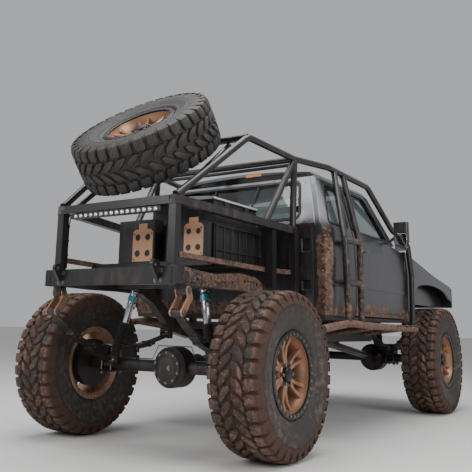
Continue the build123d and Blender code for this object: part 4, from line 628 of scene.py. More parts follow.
def frame_bias(tree):
    """Mud on the rails: thickest on the rear kick-up and on their outer sides."""
    axes = place_axes(tree)
    back = ramp(tree, axes["Y"], ahead_of_axle(KICK_UP_AHEAD), KICK_UP_BIAS)
    return total_of(tree, back, ramp(tree, combine(tree, "ABSOLUTE", axes["X"], 0.0), RAIL_OUT, RAIL_BIAS))


def fading_up(heights, biases):
    """Mud that thins out between two heights."""
    return lambda tree: ramp(tree, place_axes(tree)["Z"], heights, biases)


def axle_distance(tree, place):
    """Distance from the local z axis of a place."""
    flat = new_node(tree, "ShaderNodeVectorMath", operation="MULTIPLY")
    supply(tree, place, flat.inputs[0])
    flat.inputs[1].default_value = (1, 1, 0)
    size = new_node(tree, "ShaderNodeVectorMath", operation="LENGTH")
    supply(tree, flat.outputs[0], size.inputs[0])
    return size.outputs["Value"]


def wheel_radius(tree):
    """Distance from the axis of a wheel whose own z axis is its axle."""
    return axle_distance(tree, own_place(tree))


def spare_radius(tree):
    """Distance from the axis of the spare, which lies on the cage."""
    local = new_node(tree, "ShaderNodeMapping", vector_type="TEXTURE")
    local.inputs["Location"].default_value = spare_place().translation
    local.inputs["Rotation"].default_value = (CAGE_SLOPE, 0, 0)
    supply(tree, own_place(tree), local.inputs["Vector"])
    return axle_distance(tree, local.outputs[0])


def tread_bias(tree):
    """Mud over the tread and the shoulder of a tyre, which thins out toward the bead."""
    radius = wheel_radius(tree)
    tread = ramp(tree, radius, TREAD_RADII, TREAD_BIAS)
    return combine(tree, "MINIMUM", tread, ramp(tree, radius, WALL_RADII, WALL_BIAS))


def tread_wet(tree):
    """Mud deep in the grooves stays dark."""
    return ramp(tree, wheel_radius(tree), GROOVE_RADII, WET_GROOVE)


def spare_bias(tree):
    """A thin coat of mud in the spare's grooves."""
    return ramp(tree, spare_radius(tree), TREAD_RADII, SPARE_BIAS)


def wheel_mud_and_shade_bias(tree):
    """Mud that coats the inner side of a wheel and spares its face. On the inner side it is also painted
    shade, darkening the barrel where shade falls.
    """
    return ramp(tree, place_axes(tree)["Z"], WHEEL_ALONG, WHEEL_MUD_AND_SHADE_BIAS)


def pale_paint_and_highlight_share(tree):
    """The share of pale grey on the cab's corners beside the rear window, partly bare paint and partly a
    painted highlight.
    """
    axes = place_axes(tree)
    back = ramp(tree, axes["Y"], ahead_of_axle(PALE_AHEAD), (PALE_MOST, 0.0))
    high = ramp(tree, axes["Z"], PALE_UP)
    cloud = ramp(tree, noise_of(tree, own_place(tree), FADED_CLOUD), PALE_CLOUD_EDGE)
    return product(tree, back, high, cloud)


# Materials

TUBE_MUD = fading_up((0.85, 1.5), (0.3, -0.5))
LADDER_MUD = fading_up((1.35, 1.8), (0.5, -0.4))
BED_TUBE_MUD = fading_up((0.95, 1.3), (0.2, -0.55))
LOWER_RAIL_MUD = fading_up((1.16, 1.28), (0.66, -0.45))
BOX_MUD = fading_up((1.05, 1.3), (0.05, -0.45))
# Columns: name, colour or its setting, roughness, metal, dust, mud bias, grain, coat, relief,
# then pale share (partly bare paint, partly a painted highlight) and wet share where a finish has them
COATED = (
    ("Body paint", "paint", 0.3, 0.0, 0.32, cab_corner_bias, 30, 0.45, 0.5),
    # The quarter panels and the cab's back carry the pale patch: partly bare paint, partly a painted
    # highlight
    ("Quarter paint", "paint", 0.3, 0.0, 0.32, cab_corner_bias, 30, 0.45, 0.5, pale_paint_and_highlight_share),
    ("Roof paint", (0.03, 0.031, 0.034), 0.32, 0.0, 0.35, -0.6, 30, 0.3, 0.3),
    ("Tube coating", "tube", 0.32, 0.0, 0.25, TUBE_MUD, 30, 0.3, 0.4),
    ("Ladder tube coating", "tube", 0.36, 0.0, 0.35, LADDER_MUD, 40, 0.2, 0.6),
    ("Slider tube coating", "tube", 0.5, 0.0, 0.6, 0.72, 40, 0.0, 0.7),
    ("Bed tube coating", "tube", 0.36, 0.0, 0.25, BED_TUBE_MUD, 40, 0.15, 0.4),
    ("Lower rail coating", "tube", 0.45, 0.0, 0.5, LOWER_RAIL_MUD, 40, 0.1, 0.6),
    ("Frame coating", (0.016, 0.014, 0.013), 0.5, 0.0, 0.45, frame_bias, 40, 0.0, 0.7),
    ("Underbody", (0.014, 0.0135, 0.013), 0.6, 0.0, 0.4, 0.0, 40, 0.0, 0.5),
    ("Axle iron", (0.022, 0.02, 0.019), 0.5, 0.3, 0.5, 0.22, 45, 0.0, 0.6),
    ("Spring steel", (0.02, 0.018, 0.017), 0.45, 0.4, 0.5, 0.26, 50, 0.0, 0.5),
    ("Shackle bronze", "bronze", 0.42, 0.6, 0.4, 0.12, 60, 0.0, 0.4),
    ("Bright steel", (0.5, 0.5, 0.51), 0.24, 1.0, 0.25, -0.28, 60, 0.0, 0.3),
    ("Bolt steel", (0.22, 0.21, 0.2), 0.35, 0.9, 0.4, -0.2, 60, 0.0, 0.3),
    ("Collar", "collar", 0.3, 0.3, 0.2, -0.35, 60, 0.3, 0.3),
    ("Bellows", (0.012, 0.012, 0.012), 0.55, 0.0, 0.4, 0.0, 70, 0.0, 0.3),
    ("Tread rubber", "rubber", 0.7, 0.0, 0.9, tread_bias, 48, 0.0, 1.0, None, tread_wet),
    ("Spare rubber", "rubber", 0.62, 0.0, 0.35, spare_bias, 55, 0.0, 0.5),
    # The wheels' mud bias also paints shade on their inner side
    ("Wheel bronze", "bronze", 0.36, 0.6, 0.3, wheel_mud_and_shade_bias, 50, 0.0, 0.3),
    ("Spare bronze", "bronze", 0.36, 0.6, 0.25, -0.5, 50, 0.0, 0.3),
    ("Ring black", (0.011, 0.011, 0.012), 0.4, 0.3, 0.3, -0.15, 80, 0.0, 0.3),
    ("Moulded plastic", (0.012, 0.012, 0.013), 0.42, 0.0, 0.3, BOX_MUD, 60, 0.0, 0.3),
    ("Plate bronze", (0.5, 0.28, 0.17), 0.42, 0.45, 0.3, -0.35, 60, 0.0, 0.3),
    ("Lid silver", (0.66, 0.66, 0.67), 0.36, 0.15, 0.2, -0.45, 60, 0.2, 0.2),
    ("Trim black", (0.01, 0.01, 0.01), 0.48, 0.0, 0.3, cab_corner_bias, 40, 0.0, 0.3),
    ("Engine iron", (0.05, 0.048, 0.046), 0.6, 0.4, 0.5, -0.1, 45, 0.0, 0.4),
    ("Caked clods", "mud", 0.9, 0.0, 0.8, 0.9, 60, 0.0, 1.0),
)
# Columns: name, colour, roughness, metal,
# then grain, grain scale, transmission and glow as far as a finish has them
CLEAN = (
    ("Reflector", (0.86, 0.86, 0.86), 0.12, 1.0),
    ("Lamp cell", (0.95, 0.93, 0.85), 0.3, 0.0, 0.0, 0, 0.0, 0.6),
    ("Lens clear", (0.9, 0.92, 0.93), 0.03, 0.0, 0.0, 0, 1.0),
    ("Amber", (0.8, 0.26, 0.04), 0.25, 0.0, 0.3, 300, 0.0, 0.05),
    ("Glass", (0.5, 0.56, 0.54), 0.02, 0.0, 0.0, 0, 1.0),
    ("Mirror glass", (0.8, 0.82, 0.83), 0.03, 1.0),
    ("Cloth", (0.06, 0.06, 0.062), 0.9, 0.0, 0.6, 900),
    ("Seam thread", (0.02, 0.02, 0.021), 0.8, 0.0, 0.5, 900),
    ("Vinyl", (0.02, 0.02, 0.021), 0.55, 0.0, 0.4, 500),
    ("Gauge face", (0.12, 0.12, 0.125), 0.35, 0.0, 0.1, 500),
    ("Steel dark", (0.08, 0.08, 0.08), 0.45, 0.8, 0.2, 500),
    ("Seal rubber", (0.009, 0.009, 0.009), 0.62, 0.0, 0.3, 600),
)
CLOUD_DEPTH = 0.12
FLOOR_CLOUD_DEPTH = 0.03
CLOUD_SPAN = (0.35, 0.7)
SMEAR_SPAN = (0.4, 0.75)
# The roughness outside the smears and in them, as shares of the finish's own, and what the smears add
GLOSSIER, DULLER, SMEAR_DULLING = 0.85, 1.2, 0.05
FLOOR_ROUGHNESS = 0.85


def new_material(name):
    """A new material's node tree and the inputs of its shader."""
    material = bpy.data.materials.new(name)
    material.use_nodes = True
    return material.node_tree, material.node_tree.nodes["Principled BSDF"].inputs


def placed_group(tree, name):
    return new_node(tree, "ShaderNodeGroup", node_tree=bpy.data.node_groups[name])


def coated(name, base, rough, metallic, dust, bias, grain, coat, relief, pale=None, wet=None):
    """A base finish under dust and mud, and on some finishes a pale patch that is partly bare paint, partly a
    painted highlight. The bias, pale share and wet share may be functions of the tree.
    """
    tree, shader = new_material(name)
    film = placed_group(tree, "Dust film")
    film.inputs["Amount"].default_value = dust
    film_mask = film.outputs["Mask"]
    mud = placed_group(tree, "Caked mud")
    mud.inputs["Grain"].default_value = grain
    supply(tree, bias(tree) if callable(bias) else bias, mud.inputs["Bias"])
    if wet:
        supply(tree, wet(tree), mud.inputs["Wet"])
    mud_mask = mud.outputs["Mask"]
    under = (*base, 1.0)
    # Pale patch: partly bare paint, partly a painted highlight
    if pale:
        under = blend_colour(tree, pale(tree), under, PALE_PAINT_AND_HIGHLIGHT)
    dusty = blend_colour(tree, film_mask, under, DUST_TINT)
    supply(tree, blend_colour(tree, mud_mask, dusty, mud.outputs["Color"]), shader["Base Color"])
    dull = combine(tree, "MAXIMUM", mud_mask, film_mask)
    supply(tree, ramp(tree, dull, (0.0, 1.0), (rough, DULL_ROUGHNESS)), shader["Roughness"])
    if metallic:
        supply(tree, product(tree, rest_of(tree, dull), metallic), shader["Metallic"])
    if coat:
        supply(tree, product(tree, rest_of(tree, dull), coat), shader["Coat Weight"])
        shader["Coat Roughness"].default_value = COAT_ROUGHNESS
    supply(tree, bump_of(tree, mud.outputs["Relief"], relief, MUD_HEIGHT), shader["Normal"])


def clean(name, base, rough, metallic=0.0, grain=0.0, scale=0, transmission=0.0, glow=0.0, depth=CLOUD_DEPTH):
    """A clean finish with smears in its gloss, a faint cloud in its colour and an optional fine grain."""
    tree, shader = new_material(name)
    smear = noise_of(tree, own_place(tree), SMEARS)
    full = (*base, 1.0)
    deep = (*[(1 - depth) * share for share in base], 1.0)
    supply(tree, blend_colour(tree, ramp(tree, smear, CLOUD_SPAN), deep, full), shader["Base Color"])
    gloss = (rough * GLOSSIER, rough * DULLER + SMEAR_DULLING)
    supply(tree, ramp(tree, smear, SMEAR_SPAN, gloss), shader["Roughness"])
    shader["Metallic"].default_value = metallic
    shader["Transmission Weight"].default_value = transmission
    if glow:
        shader["Emission Color"].default_value = full
        shader["Emission Strength"].default_value = glow
    if grain:
        height = noise_of(tree, own_place(tree), (scale, *GRAIN_DETAIL))
        supply(tree, bump_of(tree, height, grain, GRAIN_HEIGHT), shader["Normal"])


class TRAIL_OT_materials(bpy.types.Operator):
    """Build the paints, rubber, metals, glass and mud"""

    bl_idname = "trail.materials"
    bl_label = "Materials"

    def execute(self, context):
        finish = context.scene.trail_finish
        mud_group(finish)
        dust_group()
        for name, base, *rest in COATED:
            coated(name, tuple(getattr(finish, base)) if isinstance(base, str) else base, *rest)
        for row in CLEAN:
            clean(*row)
        return {"FINISHED"}


# Tyres

TREAD_HALF = 150
LUG_REACH = 157.5
# The crown falls gently to the shoulder, and steeply past this share of half the tread
CROWN_DROP, SHOULDER_DROP, SHOULDER_START = 5, 66, 0.85
# Each block is an outline of shares of a pitch along the tread and places across it
SHOULDER_BLOCK = (
    (0.06, 150), (0.72, 150), (0.72, 118), (0.78, 104), (0.7, 84),
    (0.5, 78), (0.42, 88), (0.2, 80), (0.08, 92), (0.02, 118),
)
CENTRE_BLOCK = ((0.02, 8), (0.3, 6), (0.86, 42), (1.1, 66), (0.86, 72), (0.52, 66), (0.14, 40))
ROOT_FLARE = 5.0
ROOT_DEPTH = 2
# Columns: how much wider than its outline a block is, depth below its top
BLOCK_EDGES = ((1.6, 4.0), (0.0, 1.2), (-2.4, 0.0))
# Half of a tyre's section. Columns: place across, depth below the grooves
CROWN_SECTION = ((0, 0), (60, 0.8), (112, 4), (134, 10), (146, 22))
# Columns: place across, radius
WALL_SECTION = (
    (153, 412), (157, 396), (158.5, 380), (158.6, 362), (157, 344), (155.6, 338), (157.2, 335), (156.2, 329),
    (152, 312), (146, 290), (140, 272), (141, 268), (139, 262), (132, 252), (122.6, 246), (122.6, 217),
)
# Columns: inner and outer radius, the wall's place across at each, rise of the rib, share of a pitch
SIDE_RIBS = ((392, 438, 154.5, 147.5, 4, 0.56), (352, 386, 158, 158, 1.2, 0.3))
RIB_START = 0.1
RIB_NARROWING = 0.8
RIB_ROOT = -3
RIB_REACH = 159
RIB_FACES = [(0, 1, 2, 3), (7, 6, 5, 4), (0, 4, 5, 1), (1, 5, 6, 2), (2, 6, 7, 3), (3, 7, 4, 0)]


def crown(across):
    """Radius lost across the tread, in metres."""
    share = abs(across) / TREAD_HALF
    return (CROWN_DROP * share**2 + SHOULDER_DROP * max(share - SHOULDER_START, 0)) * MM


def middle_of(outline):
    xs, ys = zip(*outline)
    return sum(xs) / len(outline), sum(ys) / len(outline)


def lug(shape, outline, pitch_angle, start, side, settings):
    """One block on the tread: a top with softened edges over flaring walls."""
    n = len(outline)
    along_middle, across_middle = middle_of(outline)
    arc = settings.tip * pitch_angle
    reach = LUG_REACH * MM
    points = []
    for grow, drop in ((ROOT_FLARE, settings.depth / MM + ROOT_DEPTH), *BLOCK_EDGES):
        for u, t in outline:
            du, dt = (u - along_middle) * arc / MM, t - across_middle
            k = 1 + grow / math.hypot(du, dt)
            across = side * (across_middle + dt * k)
            angle = start + (along_middle * arc / MM + du * k) * MM / settings.tip
            radius = settings.tip - crown(across) - drop * MM
            points.append((*polar(radius, angle), max(-reach, min(reach, across * MM))))
    rings = len(BLOCK_EDGES) + 1
    shape.add(points, ends_of(rings, n)[1:] + skin(rings, n))


def side_rib(shape, start, pitch_angle, side, rib):
    """A raised rib on the sidewall below each shoulder block."""
    low, high, low_wall, high_wall, rise, share = rib
    width = pitch_angle * share
    corners = (
        (low, low_wall, start),
        (low, low_wall, start + width * RIB_NARROWING),
        (high, high_wall, start + width),
        (high, high_wall, start),
    )
    points = []
    for lift in (RIB_ROOT, rise):
        for radius, wall, angle in corners:
            points.append((*polar(radius * MM, angle), side * min(wall + lift, RIB_REACH) * MM))
    shape.add(points, RIB_FACES)


def tyre_shape(settings):
    shape = Shape()
    root = settings.tip - settings.depth
    half = [(z * MM, root - depth * MM) for z, depth in CROWN_SECTION]
    half += [(z * MM, r * MM) for z, r in WALL_SECTION]
    shape.lathe([(-z, r) for z, r in reversed(half[1:])] + half, settings.pitches * 4)
    step = 2 * math.pi / settings.pitches
    for k in range(settings.pitches):
        for side in SIDES:
            shift = 0.0 if side > 0 else 0.5
            for outline in (SHOULDER_BLOCK, CENTRE_BLOCK):
                lug(shape, outline, step, (k + shift) * step, side, settings)
            for rib in SIDE_RIBS:
                side_rib(shape, (k + shift + RIB_START) * step, step, side, rib)
    return shape


def wheel_places():
    """Columns: name, body, matrix that takes local z to the wheel's outer side."""
    places = []
    for end, station in (("rear", 0.0), ("front", WHEELBASE)):
        for side, word in zip(SIDES, ("left", "right")):
            centre = at(side * WHEEL_X, station, AXLE_HEIGHT)
            name = end + "_" + word
            places.append((name, "wheel_" + name, turned_about(centre, 90 * side, "Y")))
    places.append(("spare", "chassis", spare_place()))
    return places


class TRAIL_OT_tyres(bpy.types.Operator):
    """Build the five tyres with their tread blocks"""

    bl_idname = "trail.tyres"
    bl_label = "Tyres"

    def execute(self, context):
        for name, body, matrix in wheel_places():
            finish = "Spare rubber" if name == "spare" else "Tread rubber"
            tyre = tyre_shape(context.scene.trail_tyre)
            choices = {"stands_for": ("tyre_" + name,), "smooth": 38, "matrix": matrix}
            tyre.piece(name + "_tread", finish, body, "tyre", **choices)
        return {"FINISHED"}


# Wheels

# Profiles. Columns: place along the axle, radius
BARREL = (
    (-129, 239), (-122.4, 239.5), (-122.4, 216), (122.2, 216), (122.2, 207), (112, 205), (96, 203),
    (84, 196), (40, 190), (-20, 192), (-60, 200), (-118, 204), (-126, 222), (-129, 232),
)
HUB = ((20, 30.5), (20, 66), (40, 72), (70, 70), (82, 62), (86, 54), (84, 48), (80, 44), (80, 30.5))
CLAMP_RING = ((122.4, 240), (131, 240), (134.2, 236), (134.2, 212), (132, 208.5), (122.4, 208.5))
HUB_CAP = ((70, 0.2), (70, 42), (100, 41), (108, 36), (111.5, 26), (112, 0.2))
SPOKE_PAIRS = 6
# Columns: radius, how far the spoke's middle leans from its pair's line, width
SPOKE_ROWS = ((46, 6, 30), (90, 12, 25), (150, 22, 21), (196, 34, 25), (208, 38, 32))
# Height of a spoke's face at the hub, how far it dips half way out, and how far it rises to the rim
SPOKE_FACE, SPOKE_DIP, SPOKE_RISE = 84, 20, 14
# Columns: how much wider than its outline a spoke is, height from its face
SPOKE_EDGES = ((-3, -30), (0, -22), (0, -4), (-3.5, 0))
RING_BOLT_RADIUS, RING_FACE = 222.5, 134
WHEEL_NUT_RADIUS = 57
# The notched edge of the clamping ring. Columns: radius, share of half a pitch
TOOTH = ((233.5, -0.3), (241.5, -0.22), (241.5, 0.22), (233.5, 0.3))
TOOTH_SPAN = (123.2, 131.5)


def spoke_outline(angle, side):
    """One of a pair of spokes, wide at the hub and slim in the middle."""
    c, s = math.cos(angle), math.sin(angle)
    left = [(r, side * (offset - width / 2)) for r, offset, width in SPOKE_ROWS]
    right = [(r, side * (offset + width / 2)) for r, offset, width in SPOKE_ROWS]
    outline = left + list(reversed(right))
    if side < 0:
        outline.reverse()
    return [(x * c - y * s, x * s + y * c) for x, y in outline]


def spoke(shape, angle, side):
    outline = spoke_outline(angle, side)
    mid_x, mid_y = middle_of(outline)
    inner, outer = SPOKE_ROWS[0][0], SPOKE_ROWS[-1][0]
    points = []
    for grow, rise in SPOKE_EDGES:
        for x, y in outline:
            share = min(max((math.hypot(x, y) - inner) / (outer - inner), 0), 1)
            height = SPOKE_FACE - SPOKE_DIP * math.sin(math.pi * share) ** 2 + SPOKE_RISE * share
            k = 1 + grow / math.hypot(x - mid_x, y - mid_y)
            place = (mid_x + (x - mid_x) * k, mid_y + (y - mid_y) * k, height + rise)
            points.append([value * MM for value in place])
    rings, n = len(SPOKE_EDGES), len(outline)
    shape.add(points, ends_of(rings, n) + skin(rings, n))


def rim_shapes(bolt_count):
    """The bronze wheel, the black clamping ring and the bolts, about local z."""
    bronze, ring, bolts = Shape(), Shape(), Shape()
    bronze.turned(BARREL, 96)
    bronze.turned(HUB, 72)
    for angle in angles(SPOKE_PAIRS):
        for side in SIDES:
            spoke(bronze, angle, side)
    ring.turned(CLAMP_RING, 96)
    ring.turned(HUB_CAP, 40)
    notch = math.pi / bolt_count
    for angle in angles(bolt_count):
        place = Vector((*polar(RING_BOLT_RADIUS, angle), RING_FACE)) * MM
        bolts.bolt(place, Z_AXIS, 6.4, 5)
        outline = [polar(r * MM, angle + notch + share * notch) for r, share in TOOTH]
        ring.prism(outline, TOOTH_SPAN[0] * MM, TOOTH_SPAN[1] * MM)
    for angle in angles(SPOKE_PAIRS, 0.5):
        bolts.bolt(Vector((*polar(WHEEL_NUT_RADIUS, angle), SPOKE_FACE)) * MM, Z_AXIS, 9.5, 18)
    return bronze, ring, bolts


class TRAIL_OT_wheels(bpy.types.Operator):
    """Build the bronze wheels with their clamping rings and bolts"""

    bl_idname = "trail.wheels"
    bl_label = "Wheels"

    def execute(self, context):
        for name, body, matrix in wheel_places():
            bronze, ring, bolts = rim_shapes(context.scene.trail_tyre.bolts)
            metal = "Spare bronze" if name == "spare" else "Wheel bronze"
            choices = {"stands_for": ("rim_" + name,), "smooth": 32, "matrix": matrix}
            bronze.piece(name + "_wheel", metal, body, "wheel", **choices)
            ring.piece(name + "_ring", "Ring black", body, "wheel", smooth=30, matrix=matrix)
            bolts.piece(name + "_bolts", "Bolt steel", body, "wheel", smooth=25, matrix=matrix)
        return {"FINISHED"}


# Chassis, cage and bed

# Columns: node, body, finish, slot, edge rounding
CHASSIS_NODES = (
    ("frame_rails", "chassis", "Frame coating", "frame_paint", 3.0),
    ("crossmembers", "chassis", "Underbody", "frame_paint", 2.0),
    ("bumpers", "chassis", "Bed tube coating", "cage_paint", 3.0),
    ("bed_rails", "chassis", "Lower rail coating", "cage_paint", 2.5),
    ("bed_bars", "chassis", "Bed tube coating", "cage_paint", 2.5),
    ("cage_side_tubes", "chassis", "Tube coating", "cage_paint", 0.0),
    ("cage_cross_tubes", "chassis", "Tube coating", "cage_paint", 0.0),
    ("cage_braces", "chassis", "Ladder tube coating", "cage_paint", 0.0),
    ("spare_carrier", "chassis", "Tube coating", "cage_paint", 0.0),
    ("rock_sliders", "chassis", "Slider tube coating", "cage_paint", 0.0),
    ("body_mounts", "chassis", "Trim black", "trim", 2.0),
    ("engine", "chassis", "Engine iron", "iron", 8.0),
    ("axles", "chassis", "Axle iron", "iron", 2.0),
    ("drive_shafts", "chassis", "Bolt steel", "steel", 0.0),
    ("leaf_springs", "chassis", "Spring steel", "iron", 1.5),
    ("shackles", "chassis", "Shackle bronze", "bronze", 1.5),
    ("knuckle_left", "knuckle_left", "Axle iron", "iron", 2.0),
    ("knuckle_right", "knuckle_right", "Axle iron", "iron", 2.0),
    ("tie_rod", "tie_rod", "Bolt steel", "steel", 0.0),
)


class TRAIL_OT_chassis(bpy.types.Operator):
    """Finish the rails, cage, bed frame, axles and springs"""

    bl_idname = "trail.chassis"
    bl_label = "Chassis and cage"

    def execute(self, context):
        for row in CHASSIS_NODES:
            dress(*row)
        return {"FINISHED"}


# Body

# Columns: node, body, finish, slot, edge rounding
BODY_NODES = (
    ("quarter_panels", "chassis", "Quarter paint", "paint", 6.0),
    ("cab_back", "chassis", "Quarter paint", "paint", 4.0),
    ("roof", "chassis", "Roof paint", "paint", 6.0),
    ("windscreen_pillars", "chassis", "Trim black", "paint", 4.0),
    ("cab_floor", "chassis", "Underbody", "frame_paint", 4.0),
    ("firewall", "chassis", "Body paint", "paint", 4.0),
    ("front_fenders", "chassis", "Body paint", "paint", 5.0),
    ("grille", "chassis", "Trim black", "trim", 3.0),
    ("hood", "hood", "Body paint", "paint", 7.0),
    ("door_left", "door_left", "Body paint", "paint", 5.0),
    ("door_right", "door_right", "Body paint", "paint", 5.0),
    ("cab_glass", "chassis", "Glass", "glass", 0.5),
    ("door_glass_left", "door_left", "Glass", "glass", 0.5),
    ("door_glass_right", "door_right", "Glass", "glass", 0.5),
    ("storage_boxes", "chassis", "Moulded plastic", "box", 8.0),
    ("hole_plates", "chassis", "Plate bronze", "bronze", 0.8),
    ("chest_lid", "chest_lid", "Lid silver", "lid", 8.0),
    ("dashboard", "chassis", "Vinyl", "trim", 12.0),
    ("steering_wheel", "steering_wheel", "Vinyl", "trim", 2.0),
)


class TRAIL_OT_body(bpy.types.Operator):
    """Finish the cab, hood, doors, glass and load gear"""

    bl_idname = "trail.body"
    bl_label = "Body"

    def execute(self, context):
        for row in BODY_NODES:
            dress(*row)
        return {"FINISHED"}


# Lamps

BAR_HALF = 350
BAR_LOW, BAR_HIGH = 1359.0, 1389.0
# Stations of the light bar's open face, of the plate behind its cells and of its finned back
BAR_FACE, BAR_PLATE, BAR_BACK = -576.0, -558.0, -536.0
BAR_SKIN = 2
BAR_CAP_X = (336, 352)
BAR_BRACKET_X, BAR_BRACKET_HALF, BAR_BRACKET_TOP = 300, 15, 1393.7
BAR_SCREW_X, BAR_SCREW_RISE = 344, 8
FIN_COUNT, FIN_PITCH, FIN_HALF = 44, 15, 1.5
CELL_COUNT, CELL_PITCH, CELL_RADIUS, CELL_SIDES = 16, 42.0, 12.4, 24
CELL_INSET = 1.5
# Profiles. Columns: depth behind the open face, radius
CELL_BOWL = ((1, 12.4), (1, 13), (10, 10.4), (17, 5.6), (17, 4.6), (9.4, 9.8))
CELL_LAMP = ((17.5, 0.1), (17.5, 5.4), (14, 4.2), (12.6, 2.2), (12.4, 0.1))
# Columns: span across, ahead and up
MARKER_BASE = ((60, 199), (828, 849.5), (1839, 1846))
MARKER_LENS = ((65, 194), (832, 848), (1846, 1866))
MARKER_RIBS, MARKER_RIB_PITCH, MARKER_RIB = 15, 8.4, (68, 71)
# Station of the grille's front face, and the headlamp's middle across and up
GRILLE_FACE, HEADLAMP_X, HEADLAMP_Z = 3634.5, 620, 1055
HEADLAMP_HALF = (85, 55)
# Columns: height from the bowl's floor, radius
MIDDLE_BOWL = ((0, 20), (10, 22), (10, 19), (3, 8), (3, 0.1), (0, 0.1))
OUTER_BOWL = ((0, 24), (8, 26), (8, 24), (1, 6), (0, 0.1))
OUTER_BOWL_X = 52
BOWL_FLOOR = 3


def cell_frame(shape, x, middle, half_height):
    """The bar's face round one cell, from its square place to the bowl's round mouth."""
    points = []
    for a in angles(CELL_SIDES, 0.5):
        c, s = math.cos(a), math.sin(a)
        reach = min(CELL_PITCH / 2 / abs(c), half_height / abs(s))
        points.append(at(x + reach * c, BAR_FACE, middle + reach * s))
        points.append(at(x + CELL_RADIUS * c, BAR_FACE + CELL_INSET, middle + CELL_RADIUS * s))
    outer = range(0, 2 * CELL_SIDES, 2)
    shape.add(points, [(i, (i + 2) % len(points), (i + 3) % len(points), i + 1) for i in outer])


def light_bar():
    """The housing and the chrome bowls of the bar under the bed's tail, and the cells in them."""
    housing, bowls, cells = Shape(), Shape(), Shape()
    middle, half_height = (BAR_LOW + BAR_HIGH) / 2, (BAR_HIGH - BAR_LOW) / 2
    wide, open_stations = about(0, BAR_HALF), (BAR_FACE, BAR_PLATE)
    housing.block(wide, (BAR_PLATE, BAR_BACK), (BAR_LOW, BAR_HIGH))
    housing.block(wide, open_stations, (BAR_HIGH - BAR_SKIN, BAR_HIGH))
    housing.block(wide, open_stations, (BAR_LOW, BAR_LOW + BAR_SKIN))
    for side in SIDES:
        bracket = about(side * BAR_BRACKET_X, BAR_BRACKET_HALF)
        housing.block(side_span(side, *BAR_CAP_X), (BAR_FACE - 1, BAR_BACK + 1), (BAR_LOW - 1, BAR_HIGH + 1))
        housing.block(bracket, (BAR_FACE + 8, BAR_BACK - 8), (BAR_HIGH, BAR_BRACKET_TOP))
        for rise in about(middle, BAR_SCREW_RISE):
            housing.bolt(at(side * BAR_SCREW_X, BAR_FACE - 1, rise), -Y_AXIS, 3, 2)
    for k in range(FIN_COUNT):
        x = (k - (FIN_COUNT - 1) / 2) * FIN_PITCH
        housing.block(about(x, FIN_HALF), (BAR_BACK - 1, BAR_BACK + 6), (BAR_LOW + 3, BAR_HIGH - 3))
    for k in range(CELL_COUNT):
        x = (k - (CELL_COUNT - 1) / 2) * CELL_PITCH
        cell_frame(housing, x, middle, half_height)
        matrix = turned_about(at(x, BAR_FACE, middle), -90, "X")
        bowls.turned(CELL_BOWL, CELL_SIDES, matrix)
        cells.turned(CELL_LAMP, CELL_SIDES, matrix)
    return housing, bowls, cells


def roof_marker():
    """The marker's base and its ribbed lens."""
    base, lens = Shape(), Shape()
    base.block(*MARKER_BASE)
    lens.block(*MARKER_LENS)
    low, high = MARKER_RIB
    for k in range(MARKER_RIBS):
        shift = MARKER_RIB_PITCH * k
        lens.block((low + shift, high + shift), (831, 833), (1848, 1864))
    return base, lens


def lamp_face(side):
    """Places across and up on a headlamp's front, out from the grille's face."""
    return lambda u, v, lift: at(side * (HEADLAMP_X + u), GRILLE_FACE + lift, HEADLAMP_Z + v)


def headlamps():
    """Square bezels, bowls in threes behind clear covers."""
    bezels, bowls, covers = Shape(), Shape(), Shape()
    half_width, half_height = HEADLAMP_HALF
    outer = rounded(rectangle((-half_width, half_width), (-half_height, half_height)), 16)
    middle, inner = inset(outer, 7), inset(outer, 11)
    for side in SIDES:
        face = lamp_face(side)
        bezels.band(outer, middle, face, 0, 19)
        bowls.band(middle, inner, face, 0, 14)
        bowls.sheet(inner, face, 0, BOWL_FLOOR)
        bowls.turned(MIDDLE_BOWL, 40, turned_about(face(0, 0, BOWL_FLOOR), -90, "X"))
        for across in (-OUTER_BOWL_X, OUTER_BOWL_X):
            bowls.turned(OUTER_BOWL, 40, turned_about(face(across, 0, BOWL_FLOOR), -90, "X"))
        covers.sheet(middle, face, 15, 18)
    return bezels, bowls, covers


class TRAIL_OT_lamps(bpy.types.Operator):
    """Build the light bar, the roof marker and the headlamps"""

    bl_idname = "trail.lamps"
    bl_label = "Lamps"

    def execute(self, context):
        housing, bowls, cells = light_bar()
        housing.piece("light_bar_housing", "Trim black", slot="lens", stands_for=("lamps",), bevel=0.6)
        bowls.piece("light_bar_bowls", "Reflector", slot="lens", smooth=50)
        cells.piece("light_bar_cells", "Lamp cell", slot="lens", smooth=50)
        base, lens = roof_marker()
        base.piece("roof_marker_base", "Trim black", slot="lens", bevel=1.5)
        lens.piece("roof_marker_lens", "Amber", slot="lens", bevel=4, segments=3)
        bezels, bowls, covers = headlamps()
        bezels.piece("headlamp_bezels", "Trim black", slot="lens", bevel=1.2)
        bowls.piece("headlamp_bowls", "Reflector", slot="lens", smooth=40)
        covers.piece("headlamp_covers", "Lens clear", slot="lens", bevel=0.8)
        return {"FINISHED"}


# Suspension

# Columns: top and bottom of each right shock absorber
SHOCKS = (((274, -14, 972), (397, -84, 469.356)), ((290, 2955, 880), (290, 2952, 469.356)))
